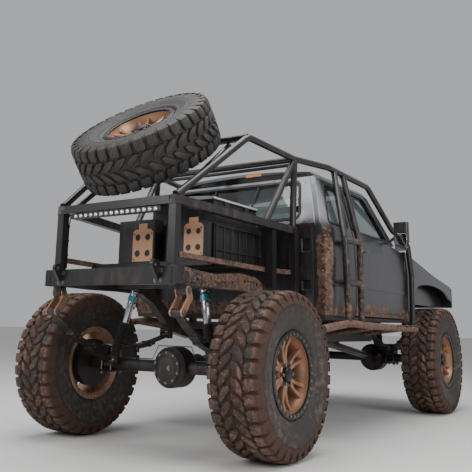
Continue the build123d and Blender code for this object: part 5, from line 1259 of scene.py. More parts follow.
# Profiles. Columns: share of a shock absorber's length from its top, radius
SHOCK_BODY = (
    ((0.04, 0.1), (0.04, 17), (0.06, 25), (0.475, 25), (0.49, 21), (0.49, 0.1)),
    ((0.225, 25), (0.225, 27), (0.25, 27), (0.25, 25)),
    ((0.91, 0.1), (0.91, 12), (0.965, 12), (0.965, 0.1)),
    ((0.065, 25), (0.067, 28), (0.085, 28), (0.087, 25)),
)
SHOCK_COLLAR = ((0.12, 25), (0.122, 30.5), (0.188, 30.5), (0.19, 25))
BELLOWS_TOP = ((0.47, 20), (0.47, 30), (0.485, 31))
BELLOWS_FOOT = ((0.915, 27), (0.93, 27), (0.93, 12))
BELLOWS_START, BELLOWS_REACH, BELLOWS_RIBS = 0.495, 0.41, 13
# Columns: share of a rib's pitch, radius
BELLOWS_RIB = ((0, 26), (0.25, 31), (0.5, 34.5), (0.75, 31))
SHOCK_EYES = (0.042, 0.962)
EYE_HALF, PIN_HALF = 17, 25.5
# Columns: x, axle station, then the shackle's foot and head and the fixed eye, each ahead of the axle and up
SPRINGS = (
    (480.0, 0.0, (-557.0, 793.0), (-511.0, 915.0), (600.0, 655.0)),
    (362.5, WHEELBASE, (470.0, 690.0), (492.0, 785.0), (-520.0, 690.0)),
)
PAD_TOP = 530.3
LEAVES = 3
PACK = 45.0
PACK_TOP = PAD_TOP + PACK
PACK_HALF = 32.0
CLAMP_WALL, CLAMP_HALF = 4, 13
# Columns: share of the run from the axle to the eye, leaves inside the clamp
CLAMPS = ((0.36, 3), (0.62, 2))
U_BOLT_STATION = 46
# A U-bolt: its legs' and its shoulders' places from the spring's middle, and the height of its corners
U_BOLT_WIDE, U_BOLT_SHOULDER, U_BOLT_CORNER = 40, 33, 8
U_BOLT_FOOT, U_BOLT_TOP = AXLE_HEIGHT - 66, PACK_TOP + 16
AXLE_PLATE = (AXLE_HEIGHT - 52, AXLE_HEIGHT - 41)
SHACKLE_PIN_X = 42.6


def shock_shapes(top, bottom):
    """A shock absorber's polished body, its collar, its bellows and its ends."""
    body, collar, boot, ends = Shape(), Shape(), Shape(), Shape()
    start, run = at(*top), at(*bottom) - at(*top)
    reach = run.length / MM
    matrix = facing(start, run)

    def turned(shape, rows, count):
        shape.turned([(share * reach, r) for share, r in rows], count, matrix)

    for rows in SHOCK_BODY:
        turned(body, rows, 32)
    turned(collar, SHOCK_COLLAR, 32)
    pitch = BELLOWS_REACH / BELLOWS_RIBS
    ribs = []
    for k in range(BELLOWS_RIBS):
        ribs += [(BELLOWS_START + (k + share) * pitch, r) for share, r in BELLOWS_RIB]
    turned(boot, (*BELLOWS_TOP, *ribs, *BELLOWS_FOOT), 40)
    for share in SHOCK_EYES:
        centre = start + run * share
        eye, pin = X_AXIS * EYE_HALF * MM, X_AXIS * PIN_HALF * MM
        ends.rod(centre - eye, centre + eye, 13, 28)
        ends.rod(centre - pin, centre + pin, 7, 16)
        for side in SIDES:
            ends.bolt(centre + pin * side, X_AXIS * side, 9, 7)
    return body, collar, boot, ends


def leaf_rise(run, rise, along):
    """Height of an evenly bent leaf over its middle, as in the solids."""
    radius = (run * run + rise * rise) / (2 * rise)
    return radius - math.sqrt(radius * radius - along * along)


def leaf_clamp(clamps, rods, x, axle, eye, share, leaves):
    """One clamp round some of the leaves, with a rivet on each side."""
    ahead, up = eye
    way = 1 if ahead > 0 else -1
    run, rise = abs(ahead), up - (PACK_TOP - PACK / LEAVES / 2)
    along = run * share
    height = leaf_rise(run, rise, along)
    tilt = math.atan2(leaf_rise(run, rise, along + 1) - height, 1) * way
    half_pack = PACK * leaves / LEAVES / 2
    middle = PAD_TOP + PACK * (LEAVES - leaves) / LEAVES + height + half_pack
    place = at(x, axle + way * along, middle)
    out, tall = (PACK_HALF + CLAMP_WALL) * MM, (half_pack + CLAMP_WALL) * MM
    half = Vector((out, CLAMP_HALF * MM, tall))
    clamps.box(-half, half, Matrix.Translation(place) @ Matrix.Rotation(tilt, 4, "X"))
    for side in SIDES:
        rods.bolt(place + X_AXIS * side * out, X_AXIS * side, 7, 5, washer=False)


def u_bolt(rods, x, station):
    half = (
        (U_BOLT_WIDE, U_BOLT_FOOT),
        (U_BOLT_WIDE, U_BOLT_TOP - U_BOLT_CORNER),
        (U_BOLT_SHOULDER, U_BOLT_TOP),
    )
    path = [at(x - across, station, z) for across, z in half]
    path += [at(x + across, station, z) for across, z in reversed(half)]
    rods.tube(path, 7, 14)
    for side in SIDES:
        rods.bolt(at(x + side * U_BOLT_WIDE, station, AXLE_PLATE[0]), -Z_AXIS, 11, 10)


def spring_fittings():
    """Clamps round the leaves, U-bolts over the axle pads and the pins' nuts."""
    clamps, rods = Shape(), Shape()
    for x, axle, foot, head, fixed in SPRINGS:
        for eye in (foot, fixed):
            for share, leaves in CLAMPS:
                leaf_clamp(clamps, rods, x, axle, eye, share, leaves)
        clamps.block(about(x, 46), about(axle, 60), (PACK_TOP, PACK_TOP + 9))
        clamps.block(about(x, 52), about(axle, 62), AXLE_PLATE)
        for station in about(axle, U_BOLT_STATION):
            u_bolt(rods, x, station)
        for ahead, up in (foot, head):
            for side in SIDES:
                rods.bolt(at(x + side * SHACKLE_PIN_X, axle + ahead, up), X_AXIS * side, 13, 9)
    return clamps.mirrored(), rods.mirrored()


# Columns: x, station, the way that each axle's cover faces
AXLE_COVERS = ((60, -85, -1), (190, WHEELBASE + 85, 1))
COVER_DOME = ((-4, 97), (7, 97), (9, 82), (18, 70), (25, 44), (27, 0.1), (-4, 0.1))
COVER_BOLTS, COVER_BOLT_RADIUS, COVER_RIM = 10, 89, 7
FILLER_PLUG = (30, 0, 24)
DRUM_RIDGES = (652, 664, 676, 688)
DRUM_RIDGE = ((-3, 148), (-1.5, 153), (1.5, 153), (3, 148))
BACKING_X = 640
BACKING_PLATE = ((-3, 40), (3, 40), (6, 156), (2, 156))
PIPE_HEIGHT = AXLE_HEIGHT + 44
# Columns: x, station, height over the axle tube
BRAKE_PIPE = (
    (-630, -18, -34), (-560, -16, 0), (-110, -16, 0), (-70, -10, 84),
    (190, -10, 84), (230, -16, 0), (560, -16, 0), (630, -18, -34),
)
PIPE_CLIPS = (-400, -250, 330, 420)


def axle_fittings():
    """Domed covers with their bolts on both axles, brake pipes, and ridges on the rear drums."""
    covers, bolts, pipes = Shape(), Shape(), Shape()
    for x, station, way in AXLE_COVERS:
        turn = turned_about(at(x, station, AXLE_HEIGHT), -90 * way, "X")
        covers.turned(COVER_DOME, 48, turn)
        for a in angles(COVER_BOLTS, 0.5):
            place = Vector((*polar(COVER_BOLT_RADIUS, a), COVER_RIM)) * MM
            bolts.bolt(turn @ place, Y_AXIS * way, 7, 6)
        bolts.bolt(turn @ (Vector(FILLER_PLUG) * MM), Y_AXIS * way, 11, 7)
    for side in SIDES:
        for x in DRUM_RIDGES:
            covers.turned(DRUM_RIDGE, 64, turned_about(at(side * x, 0, AXLE_HEIGHT), 90, "Y"))
        covers.turned(BACKING_PLATE, 64, turned_about(at(side * BACKING_X, 0, AXLE_HEIGHT), 90, "Y"))
    pipes.tube([at(x, station, PIPE_HEIGHT + up) for x, station, up in BRAKE_PIPE], 3.2, 10)
    for x in PIPE_CLIPS:
        pipes.block(about(x, 9), (-24, -8), (PIPE_HEIGHT - 8, PIPE_HEIGHT + 5))
    return covers, bolts, pipes


class TRAIL_OT_suspension(bpy.types.Operator):
    """Build the shock absorbers and the fittings on springs and axles"""

    bl_idname = "trail.suspension"
    bl_label = "Suspension"

    def execute(self, context):
        shapes = [Shape() for _ in range(4)]
        for top, bottom in SHOCKS:
            for whole, part in zip(shapes, shock_shapes(top, bottom)):
                whole.add(part.points, part.faces)
        body, collar, boot, ends = (shape.mirrored() for shape in shapes)
        body.piece("shock_bodies", "Bright steel", slot="steel", stands_for=("shock_absorbers",), smooth=40)
        collar.piece("shock_collars", "Collar", slot="steel", smooth=40)
        boot.piece("shock_bellows", "Bellows", slot="trim", smooth=70)
        ends.piece("shock_ends", "Bolt steel", slot="steel", smooth=35)
        clamps, rods = spring_fittings()
        clamps.piece("spring_clamps", "Spring steel", slot="iron", bevel=1.5)
        rods.piece("spring_bolts", "Bolt steel", slot="steel")
        covers, bolts, pipes = axle_fittings()
        covers.piece("axle_covers", "Axle iron", slot="iron", smooth=40)
        bolts.piece("axle_cover_bolts", "Bolt steel", slot="steel")
        pipes.piece("brake_pipes", "Steel dark", slot="steel", smooth=50)
        return {"FINISHED"}


# Welds

CAGE_BEAD = 22.6
# Columns: place on the right side, a point that the tube runs toward
TUBE_WELDS = (
    ((448, -556, 1447), (556, 40, 1910)),
    ((600, 563, 1388), (605, 590, 1877)),
    ((556, 260, 1388), (605, 590, 1877)),
    ((604, 585, 1846), (604, 584, 1500)),
    ((876, 841, 796), (876, 841, 1330)),
    ((868, 1085, 786), (868, 1085, 1330)),
    ((694, 1064, 1862), (860, 841, 1330)),
    ((698, 1209, 1858), (868, 1085, 1330)),
    ((843, 2270, 766), (843, 2270, 1190)),
)
# Columns: x, station, height of the bead round each post
POST_WELDS = ((441, -556, 1046), (441, -556, 1393), (554, 351, 1366), (608, 563, 1356))
POST_HALF = 25
# Beads and the rear face of the bumper's tabs
TAB_WELDS_X = (508, 470)
TAB_STATION = -605
TAB_WELD_Z = (947, 1042)
TAB_WELD_STEPS = 22


class TRAIL_OT_welds(bpy.types.Operator):
    """Lay weld beads where tubes and posts meet"""

    bl_idname = "trail.welds"
    bl_label = "Welds"

    def execute(self, context):
        beads = Shape()
        for place, toward in TUBE_WELDS:
            beads.ring_weld(at(*place), at(*toward) - at(*place), CAGE_BEAD)
        for x, station, z in POST_WELDS:
            square = rectangle(about(x, POST_HALF), about(station, POST_HALF))
            beads.corner_weld([at(*corner, z) for corner in square])
        for x in TAB_WELDS_X:
            low, high = (at(x, TAB_STATION, z) for z in TAB_WELD_Z)
            beads.bead([low.lerp(high, k / TAB_WELD_STEPS) for k in range(TAB_WELD_STEPS + 1)])
        beads.mirrored().piece("weld_beads", "Bed tube coating", slot="cage_paint", smooth=80)
        return {"FINISHED"}


# Doors and glazing

# Outlines. Columns: station, height
DOOR_WINDOW = ((1185, 1440), (1290, 1765), (1708, 1765), (1896, 1440))
QUARTER_WINDOW = ((770, 1450), (938, 1755), (1190, 1755), (1108, 1450))
# Columns: x, height
REAR_WINDOW = ((-610, 1470), (610, 1470), (530, 1765), (-530, 1765))
# Leaning faces. Columns: place and height of the foot, lean over a rise, the outward direction along and up
SIDE_WALL = (790, 1402, 145, 393, 0.938, 0.346)
BACK_WALL = (615, 1426, -223, 379.7, -0.862, 0.506)
WINDSCREEN = (2056, 1402, 230, 404, 0.869, 0.495)
SEAL_LAP = 5
SEAL_LIFT = (-1, 4.5)
MIRROR_PLACE = (899, 1885, 1425)
# Columns: span across and up from the mirror's middle
MIRROR_SPANS = ((-50, 50), (-70, 70))
LOCK_PLACE = (1392, 1304)
# The lock's inner end, the face of its collar and the face of its key slot
LOCK_X = (803, 811, 812)
# Columns: x span on the right side, station span, height span
DOOR_CARD = (
    ((721, 728), (1215, 2130), (880, 1372)),
    ((692, 722), (1400, 1700), (1110, 1150)),
    ((716, 722), (1250, 2080), (900, 1040)),
    ((706, 722), (1500, 1640), (1210, 1232)),
)
CRANK_HUB = ((722, 1800, 1130), (700, 1800, 1130))
CRANK_ARM = ((704, 1800, 1130), (700, 1850, 1165), (696, 1880, 1180))
CRANK_KNOB = ((698, 1880, 1180), (672, 1880, 1180))


def leaning(wall, z, lift):
    """Where a leaning face is at a height, and that height, both moved out by the lift."""
    foot, foot_z, lean, rise, out, up = wall
    return foot - (z - foot_z) * lean / rise + out * lift, z + up * lift


def side_face(side):
    """Places on the sloping sides of the cab, by station, height and lift."""

    def place(u, v, lift):
        x, z = leaning(SIDE_WALL, v, lift)
        return at(side * x, u, z)

    return place


def rear_face(u, v, lift):
    """Places across and up on the cab's sloping back, out from it."""
    return at(u, *leaning(BACK_WALL, v, lift))


def screen_face(u, v, lift):
    """Places across and up on the windscreen, out from it."""
    return at(u, *leaning(WINDSCREEN, v, lift))


def seal(outline, face, wide, corner=34):
    """A rubber seal that laps a window's edge."""
    shape = Shape()
    edge = rounded(outline, corner)
    shape.band(inset(edge, -wide), inset(edge, SEAL_LAP), face, *SEAL_LIFT)
    return shape


def mirror_glass(side):
    shape = Shape()
    x, station, z = MIRROR_PLACE
    outline = rounded(rectangle(*MIRROR_SPANS), 22)
    shape.sheet(outline, lambda u, v, lift: at(side * (x + u), station - lift, z + v), -1, 1.5)
    return shape


def door_lock(side):
    shape = Shape()
    inner, face, tip = (at(side * x, *LOCK_PLACE) for x in LOCK_X)
    shape.rod(inner, face, 9, 24)
    shape.rod(face, tip, 6, 24)
    return shape


def door_card(side):
    """The door's inner panel with its armrest, pull and window crank."""
    card, crank = Shape(), Shape()
    for x_span, stations, heights in DOOR_CARD:
        card.block(side_span(side, *x_span), stations, heights)

    def sided(places):
        return [at(side * x, station, z) for x, station, z in places]

    crank.rod(*sided(CRANK_HUB), 16, 24)
    crank.tube(sided(CRANK_ARM), 6, 10)
    crank.rod(*sided(CRANK_KNOB), 10, 18)
    return card, crank


class TRAIL_OT_doors(bpy.types.Operator):
    """Build the side windows' seals, the mirrors' glass and the doors' fittings"""

    bl_idname = "trail.doors"
    bl_label = "Doors"

    def execute(self, context):
        for side, name in zip(SIDES, ("left", "right")):
            body = "door_" + name
            door_seal = seal(DOOR_WINDOW, side_face(side), 13)
            door_seal.piece("window_seal_" + name, "Seal rubber", body, "trim", bevel=1.2)
            quarter_seal = seal(QUARTER_WINDOW, side_face(side), 12)
            quarter_seal.piece("quarter_seal_" + name, "Seal rubber", slot="trim", bevel=1.2)
            mirror_glass(side).piece("mirror_glass_" + name, "Mirror glass", body, "glass", bevel=0.6)
            door_lock(side).piece("door_lock_" + name, "Bright steel", body, "steel", smooth=40)
            card, crank = door_card(side)
            card.piece("door_card_" + name, "Vinyl", body, "trim", bevel=5)
            crank.piece("window_crank_" + name, "Vinyl", body, "trim", smooth=50)
        return {"FINISHED"}


# Hood

# The station and height of the hood's fold, how far it falls on each side of it, and its thickness
HOOD_FOLD, HOOD_FOLD_Z, HOOD_THICKNESS = 3036, 1268, 26
REAR_SLOPE, FRONT_SLOPE = 128 / 772, 82 / 582
# Columns: back and front station of each bay of stiffeners
HOOD_BAYS = ((2360, 3026), (3046, 3500))
BRACE_HALF = 540
# Columns: x at the back, x at the front of a slanting stiffener's two edges
BRACE_EDGES = ((30, 370), (80, 420))
BRACE_MARGIN = 40


def hood_face(u, v, lift):
    """Places across and along the hood, up from its underside."""
    slope = REAR_SLOPE if v < HOOD_FOLD else FRONT_SLOPE
    return at(u, v, HOOD_FOLD_Z - (v - HOOD_FOLD) * slope - HOOD_THICKNESS + lift)


def hood_brace():
    """Pressed stiffeners under the hood, in two bays."""
    brace = Shape()
    (near_back, near_front), (far_back, far_front) = BRACE_EDGES
    for back, front in HOOD_BAYS:
        outer = rounded(rectangle((-BRACE_HALF, BRACE_HALF), (back, front)), 60)
        brace.band(outer, inset(outer, 46), hood_face, -9, 1)
        low, high = back + BRACE_MARGIN, front - BRACE_MARGIN
        for side in SIDES:
            ends = ((near_back, low), (far_back, low), (far_front, high), (near_front, high))
            outline = [(side * x, station) for x, station in ends]
            brace.sheet(outline if side > 0 else outline[::-1], hood_face, -8, 1)
    return brace


class TRAIL_OT_hood(bpy.types.Operator):
    """Build the stiffeners under the hood"""

    bl_idname = "trail.hood"
    bl_label = "Hood"

    def execute(self, context):
        hood_brace().piece("hood_brace", "Underbody", "hood", "trim", bevel=2)
        return {"FINISHED"}


# Rear window and wipers

SLIDER_BARS_X = (-190, 190)
SLIDER_BAR_HALF = 6
SLIDER_BAR_Z = (1476, 1759)
WIPER_PIVOTS = (560, -40)
# From foot to tip. Columns: distance from the pivot, height, distance off the glass
WIPER_ARM = ((0, 1420, 16), (-150, 1500, 14), (-330, 1545, 9))
BLADE_REACH = (-230, 210)
BLADE_SLOPE = 0.1
BLADE_LIFT = 5
PIVOT_HEIGHT = 14


def rear_window_bars():
    """The two upright bars of the sliding rear window."""
    bars = Shape()
    for x in SLIDER_BARS_X:
        bars.sheet(rectangle(about(x, SLIDER_BAR_HALF), SLIDER_BAR_Z), rear_face, -4, 2)
    return bars


def wiper(shape, pivot):
    """An arm and a blade that lie on the windscreen."""
    foot, elbow, tip = (screen_face(pivot + x, z, lift) for x, z, lift in WIPER_ARM)
    shape.rod(foot - Z_AXIS * PIVOT_HEIGHT * MM, foot, 11, 18)
    shape.tube([foot, elbow, tip], 4.5, 10)
    x, z, _ = WIPER_ARM[-1]
    start, end = (screen_face(pivot + x + u, z + u * BLADE_SLOPE, BLADE_LIFT) for u in BLADE_REACH)
    shape.tube([start, tip, end], 3.6, 8)


class TRAIL_OT_glazing(bpy.types.Operator):
    """Build the rear window's seal and bars, and the wipers"""

    bl_idname = "trail.glazing"
    bl_label = "Rear window and wipers"

    def execute(self, context):
        rear_seal = seal(REAR_WINDOW, rear_face, 16, 50)
        rear_seal.piece("rear_window_seal", "Seal rubber", slot="trim", bevel=1.5)
        rear_window_bars().piece("rear_window_bars", "Seal rubber", slot="trim", bevel=1)
        wipers = Shape()
        for pivot in WIPER_PIVOTS:
            wiper(wipers, pivot)
        wipers.piece("wipers", "Trim black", slot="trim", smooth=50)
        return {"FINISHED"}


# Chest

# The lid's middle and half width, the height of its edge, and how far its crown rises over that
LID_X, LID_HALF, LID_EDGE, LID_CROWN = 169, 235, 1514, 17
LID_RIBS, LID_RIB_START, LID_RIB_PITCH, LID_RIB_HALF = 9, -20, 47, 7
LID_RIB_STATIONS = (-60, 380)
# Columns: span across, ahead and up
CHEST_RIM = ((-69, 407), (-109, 429), (1494, 1502))
LATCH_STATIONS = (40, 280)
# Columns: x span, half length, height span
LATCH_PARTS = (((397, 409), 26, (1432, 1496)), ((407, 414), 18, (1440, 1488)))
CHEST_RIB_HEIGHTS = (1180, 1330)


def lid_ribs():
    """The lid's raised ribs, which follow its crown."""
    ribs = Shape()
    for k in range(LID_RIBS):
        x = LID_RIB_START + k * LID_RIB_PITCH
        top = LID_EDGE + LID_CROWN * (1 - ((x - LID_X) / LID_HALF) ** 2)
        ribs.block(about(x, LID_RIB_HALF), LID_RIB_STATIONS, (top - 4, top + 2.5))
    return ribs


def chest_latches():
    """Two latches, and the ribs along the chest's side."""
    latches = Shape()
    for station in LATCH_STATIONS:
        for x_span, half, z_span in LATCH_PARTS:
            latches.block(x_span, about(station, half), z_span)
    for z in CHEST_RIB_HEIGHTS:
        latches.block((437, 443), (-130, 417), about(z, 5))
    return latches


class TRAIL_OT_chest(bpy.types.Operator):
    """Build the chest's lid ribs, rim and latches"""

    bl_idname = "trail.chest"
    bl_label = "Chest"

    def execute(self, context):
        lid_ribs().piece("chest_lid_ribs", "Lid silver", "chest_lid", "lid", bevel=2)
        rim = Shape()
        rim.block(*CHEST_RIM)
        rim.piece("chest_rim", "Moulded plastic", slot="box", bevel=2)
        chest_latches().piece("chest_latches", "Moulded plastic", slot="box", bevel=3)
        return {"FINISHED"}


# Bed

# Columns: left and right x, low and high z of each plate with round holes
HOLE_PLATES = ((-119, 42, 1113, 1317), (284, 424, 1135, 1330))
PLATE_STATION = -251.2
PLATE_MARGIN, PLATE_TOP_MARGIN = 13, 30
TAB_BOLTS_X = (392, 362)
TAB_BOLTS_Z = (966, 1020)
CABLE = ((-352, -545, 1374), (-398, -535, 1372), (-410, -533, 1330), (-411, -533, 1180), (-409, -534, 1060))
CABLE_CLIPS_Z = (1320, 1230, 1140)


def bed_bolts():
    """Bolts in the plates' corners and in the bumper's tabs."""
    bolts = Shape()
    for left, right, low, high in HOLE_PLATES:
        for x in (left + PLATE_MARGIN, right - PLATE_MARGIN):
            for z in (low + PLATE_MARGIN, high - PLATE_TOP_MARGIN):
                bolts.bolt(at(x, PLATE_STATION, z), -Y_AXIS, 5, 4)
    for side in SIDES:
        for x in TAB_BOLTS_X:
            for z in TAB_BOLTS_Z:
                bolts.bolt(at(side * x, TAB_STATION, z), -Y_AXIS, 11, 8)
    return bolts


def bed_wiring():
    """The light bar's cable, clipped down the left post."""
    wire = Shape()
    wire.tube([at(*place) for place in CABLE], 3.4, 10)
    for z in CABLE_CLIPS_Z:
        wire.block((-417, -405), (-538, -528), about(z, 4))
    return wire


class TRAIL_OT_bed(bpy.types.Operator):
    """Build the bed's bolts and the light bar's cable"""

    bl_idname = "trail.bed"
    bl_label = "Bed"

    def execute(self, context):
        bed_bolts().piece("plate_bolts", "Bolt steel", slot="steel")
        bed_wiring().piece("bed_wiring", "Seal rubber", slot="trim", smooth=50)
        return {"FINISHED"}


# Cabin

# Columns: x, half width of each panel on the dashboard
DASH_PANELS = ((-360, 150), (120, 110))
VENTS_X = (-600, 30, 210, 600)
VENT_HALF, VENT_SLATS, VENT_PITCH, VENT_SLAT = 48, 5, 14, (1222, 1228)
# Columns: span across, ahead and up
CONSOLE = ((-60, 60), (1300, 1960), (880, 1000))
GEAR_LEVER = ((40, 1660, 1000), (60, 1620, 1150))
GEAR_KNOB = ((60, 1620, 1140), (60, 1620, 1180))
GAUGES_X = (-420, -300)
STEERING_CENTRE = (-360, 1800, 1240)
STEERING_RAKE = 25


def dashboard_fittings():
    """Panels and vents on the dashboard, and the console with its lever."""
    inside = Shape()
    for x, half in DASH_PANELS:
        inside.block(about(x, half), (1935, 1962), (1205, 1300))
    low, high = VENT_SLAT
    for x in VENTS_X:
        for k in range(VENT_SLATS):
            inside.block(about(x, VENT_HALF), (1938, 1960), (low + VENT_PITCH * k, high + VENT_PITCH * k))
    inside.block(*CONSOLE)
    inside.rod(*[at(*place) for place in GEAR_LEVER], 7, 14)
    inside.rod(*[at(*place) for place in GEAR_KNOB], 20, 24)
    return inside


def gauges():
    shape = Shape()
    for x in GAUGES_X:
        shape.rod(at(x, 1936, 1252), at(x, 1931, 1252), 38, 32)
    return shape


def steering_hub():
    shape = Shape()
    rake = math.radians(STEERING_RAKE)
    centre = at(*STEERING_CENTRE)
    toward_driver = Vector((0, -math.cos(rake), math.sin(rake)))
    shape.rod(centre + toward_driver * 10 * MM, centre + toward_driver * 26 * MM, 56, 40, end_radius=42)
    return shape


class TRAIL_OT_cabin(bpy.types.Operator):
    """Build the dashboard's details, the console and the steering wheel's hub"""

    bl_idname = "trail.cabin"
    bl_label = "Cabin"

    def execute(self, context):
        dashboard_fittings().piece("dashboard_fittings", "Vinyl", slot="trim", bevel=4)
        gauges().piece("gauges", "Gauge face", slot="trim", smooth=30)
        steering_hub().piece("steering_hub", "Vinyl", "steering_wheel", "trim", smooth=40, bevel=2)
        return {"FINISHED"}


# Seats

SEAT_X = 360
PAD_POWER = 5
PAD_CUTS = 40
# Shares by which a pad's sides and ends pull in, and of its thickness at the edge and in the crown over it
SIDE_PULL, END_PULL, EDGE_SHARE, CROWN_SHARE = 0.05, 0.04, 0.74, 0.26
CHANNEL_DEPTH, CHANNEL_WIDTH = 0.16, 11
CREASE = 0.01
PIPING_HEIGHT, PIPING_RADIUS, PIPING_STEPS = 0.62, 3.2, 30
CUSHION_CHANNELS = (("y", -0.4), ("y", 0.0), ("y", 0.4), ("x", -0.62), ("x", 0.62))
BACK_CHANNELS = (("y", -0.5), ("y", -0.15), ("y", 0.2), ("x", -0.62), ("x", 0.62))
HEADREST_CHANNELS = (("x", -0.6), ("x", 0.6))
# Columns: name, station and height of the middle, half sizes, tilt in degrees, half turns, sewn channels
PADS = (
    ("seat_cushion_", (1592, 955), (222, 226, 62), 4, 0, CUSHION_CHANNELS),
    ("seat_back_", (1312, 1268), (222, 290, 62), 79.6, 1, BACK_CHANNELS),
    ("headrest_", (1250, 1662), (128, 74, 44), 79.6, 1, HEADREST_CHANNELS),
)
# Columns: span across from the seat's middle, span ahead and up
SEAT_BASE = (
    ((-215, 215), (1345, 1770), (813, 905)),
    ((-228, -214), (1335, 1560), (880, 975)),
    ((214, 228), (1335, 1560), (880, 975)),
)
POST_STATION, POST_SHIFT, POST_Z = 1246, 70, (1530, 1640)


def soft_point(x, y, z, half, channels):
    """A point of a cube, moved onto a crowned pad whose sides pull in between its corners."""
    size = sum(abs(value) ** PAD_POWER for value in (x, y, z)) ** (1 / PAD_POWER)
    x, y, z = x / size, y / size, z / size
    wide = 1 - SIDE_PULL * (1 - y * y)
    long = 1 - END_PULL * (1 - x * x)
    z *= EDGE_SHARE + CROWN_SHARE * (1 - x**4) * (1 - y**4)
    if z > 0:
        dip = 0
        for axis, place in channels:
            along, reach = (x, half[0]) if axis == "x" else (y, half[1])
            dip += CHANNEL_DEPTH * math.exp(-(((along - place) * reach / CHANNEL_WIDTH) ** 2))
        z -= dip * min(z * 3, 1) * 0.9
    z += CREASE * math.sin(9 * x + 4 * y) * math.sin(7 * y - 3 * x)
    return Vector((x * wide * half[0] * MM, y * long * half[1] * MM, z * half[2] * MM))


def pad(name, centre, half, tilt, flip, channels):
    """One upholstered pad with a piped seam round it."""
    matrix = Matrix.Translation(centre) @ Matrix.Rotation(math.pi * flip, 4, "Z")
    matrix = matrix @ Matrix.Rotation(math.radians(tilt), 4, "X")
    work = bmesh.new()
    bmesh.ops.create_cube(work, size=2)
    bmesh.ops.subdivide_edges(work, edges=work.edges, cuts=PAD_CUTS, use_grid_fill=True)
    for v in work.verts:
        v.co = soft_point(*v.co, half, channels)
    mesh = bpy.data.meshes.new(name)
    work.to_mesh(mesh)
    work.free()
    obj = settle(mesh, name, "Cloth", "chassis", "cloth", smooth=80, matrix=matrix)
    piping = Shape()
    edge = []
    corners = rectangle((-1, 1), (-1, 1))
    for (x0, y0), (x1, y1) in zip(corners, corners[1:] + corners[:1]):
        for k in range(PIPING_STEPS):
            t = k / PIPING_STEPS
            edge.append(soft_point(x0 + (x1 - x0) * t, y0 + (y1 - y0) * t, PIPING_HEIGHT, half, ()))
    piping.tube(edge + [edge[0]], PIPING_RADIUS, 8)
    piping.piece(name + "_piping", "Seam thread", slot="cloth", smooth=70, matrix=matrix)


class TRAIL_OT_seats(bpy.types.Operator):
    """Build two upholstered seats"""

    bl_idname = "trail.seats"
    bl_label = "Seats"

    def execute(self, context):
        base, posts = Shape(), Shape()
        for x, word in ((-SEAT_X, "left"), (SEAT_X, "right")):
            for (left, right), stations, heights in SEAT_BASE:
                base.block((x + left, x + right), stations, heights)
            for post_x in about(x, POST_SHIFT):
                low, high = (at(post_x, POST_STATION, z) for z in POST_Z)
                posts.rod(low, high, 6.5, 18)
            for name, (station, z), half, tilt, flip, channels in PADS:
                pad(name + word, at(x, station, z), half, tilt, flip, channels)
        base.piece("seat_bases", "Vinyl", slot="trim", stands_for=("seats",), bevel=8, segments=3)
        posts.piece("headrest_posts", "Bright steel", slot="steel", smooth=50)
        return {"FINISHED"}


# Mud in lumps

CLOD_RINGS, CLOD_SIDES = 4, 7
# Columns: start and end of a run, how far lumps stray across and ahead, largest lump, how many
MUD_RUNS = (
    ((806, 640, 850), (806, 650, 1380), (3, 60), 15, 150),
    ((800, 620, 850), (800, 618, 1360), (16, 12), 13, 80),
    ((876, 841, 780), (862, 841, 1330), (22, 22), 9, 60),
    ((868, 1085, 780), (868, 1085, 1330), (22, 22), 8, 50),
    ((872, 430, 750), (872, 2320, 764), (20, 24), 12, 110),
    ((500, -540, 960), (500, 250, 1010), (4, 30), 10, 90),
    ((812, 1180, 850), (812, 2180, 850), (2, 20), 7, 50),
)


def scatter(k, salt):
    """A number from 0 to 1 that is the same in each run."""
    value = math.sin(k * 12.9898 + salt * 78.233) * 43758.5453
    return value - math.floor(value)


def clod(shape, place, size, k):
    """A squashed, uneven lump."""
    points = []
    for i in range(CLOD_RINGS + 1):
        down = math.pi * i / CLOD_RINGS
        for j in range(CLOD_SIDES):
            around = 2 * math.pi * j / CLOD_SIDES + i
            r = size * (0.75 + 0.5 * scatter(k * 31 + i * 7 + j, 3))
            x, y = polar(math.sin(down) * r, around)
            points.append(place + Vector((x, y, math.cos(down) * r)))
    first, last = ends_of(CLOD_RINGS + 1, CLOD_SIDES)
    shape.add(points, skin(CLOD_RINGS + 1, CLOD_SIDES) + [first[::-1], last])


class TRAIL_OT_mud(bpy.types.Operator):
    """Press lumps of mud onto the cab's corner, the sliders and the frame"""

    bl_idname = "trail.mud"
    bl_label = "Mud"

    def execute(self, context):
        lumps = Shape()
        k = 0
        for start, end, (stray_x, stray_y), size, count in MUD_RUNS:
            for _ in range(count):
                k += 1
                along = at(*start).lerp(at(*end), scatter(k, 1))
                x, y = (scatter(k, 2) - 0.5) * 2 * stray_x, (scatter(k, 5) - 0.5) * 2 * stray_y
                clod(lumps, along + Vector((x, y, 0)) * MM, size * MM * (0.25 + 0.75 * scatter(k, 4) ** 2), k)
        lumps.mirrored().piece("mud_lumps", "Caked clods", slot="frame_paint", smooth=60)
        return {"FINISHED"}


# Stage, with places in metres

FLOOR_HALF = 90
# Columns: name, place, size, power
LIGHTS = (
    ("Overhead softbox", (0.5, -1.0, 6.5), 6.0, 430.0),
    ("Right softbox", (6.5, -2.5, 3.8), 4.0, 190.0),
    ("Rear softbox", (-2.5, -7.0, 4.2), 4.0, 200.0),
)
LIGHT_AIM = Vector((0, 0, 0.9))
SKY, SKY_STRENGTH = (0.93, 0.95, 1.0, 1), 0.5
# The camera, solved from the photograph: its place in millimetres and its yaw, pitch and roll in degrees
CAMERA_PLACE = (2721.5, -3564.0, 722.6)
CAMERA_ANGLES = (34.84, 12.79, 1.27)
CAMERA_SHIFT = (0.0697, -0.1356)
SENSOR_WIDTH = 36
VIEW_END = 200


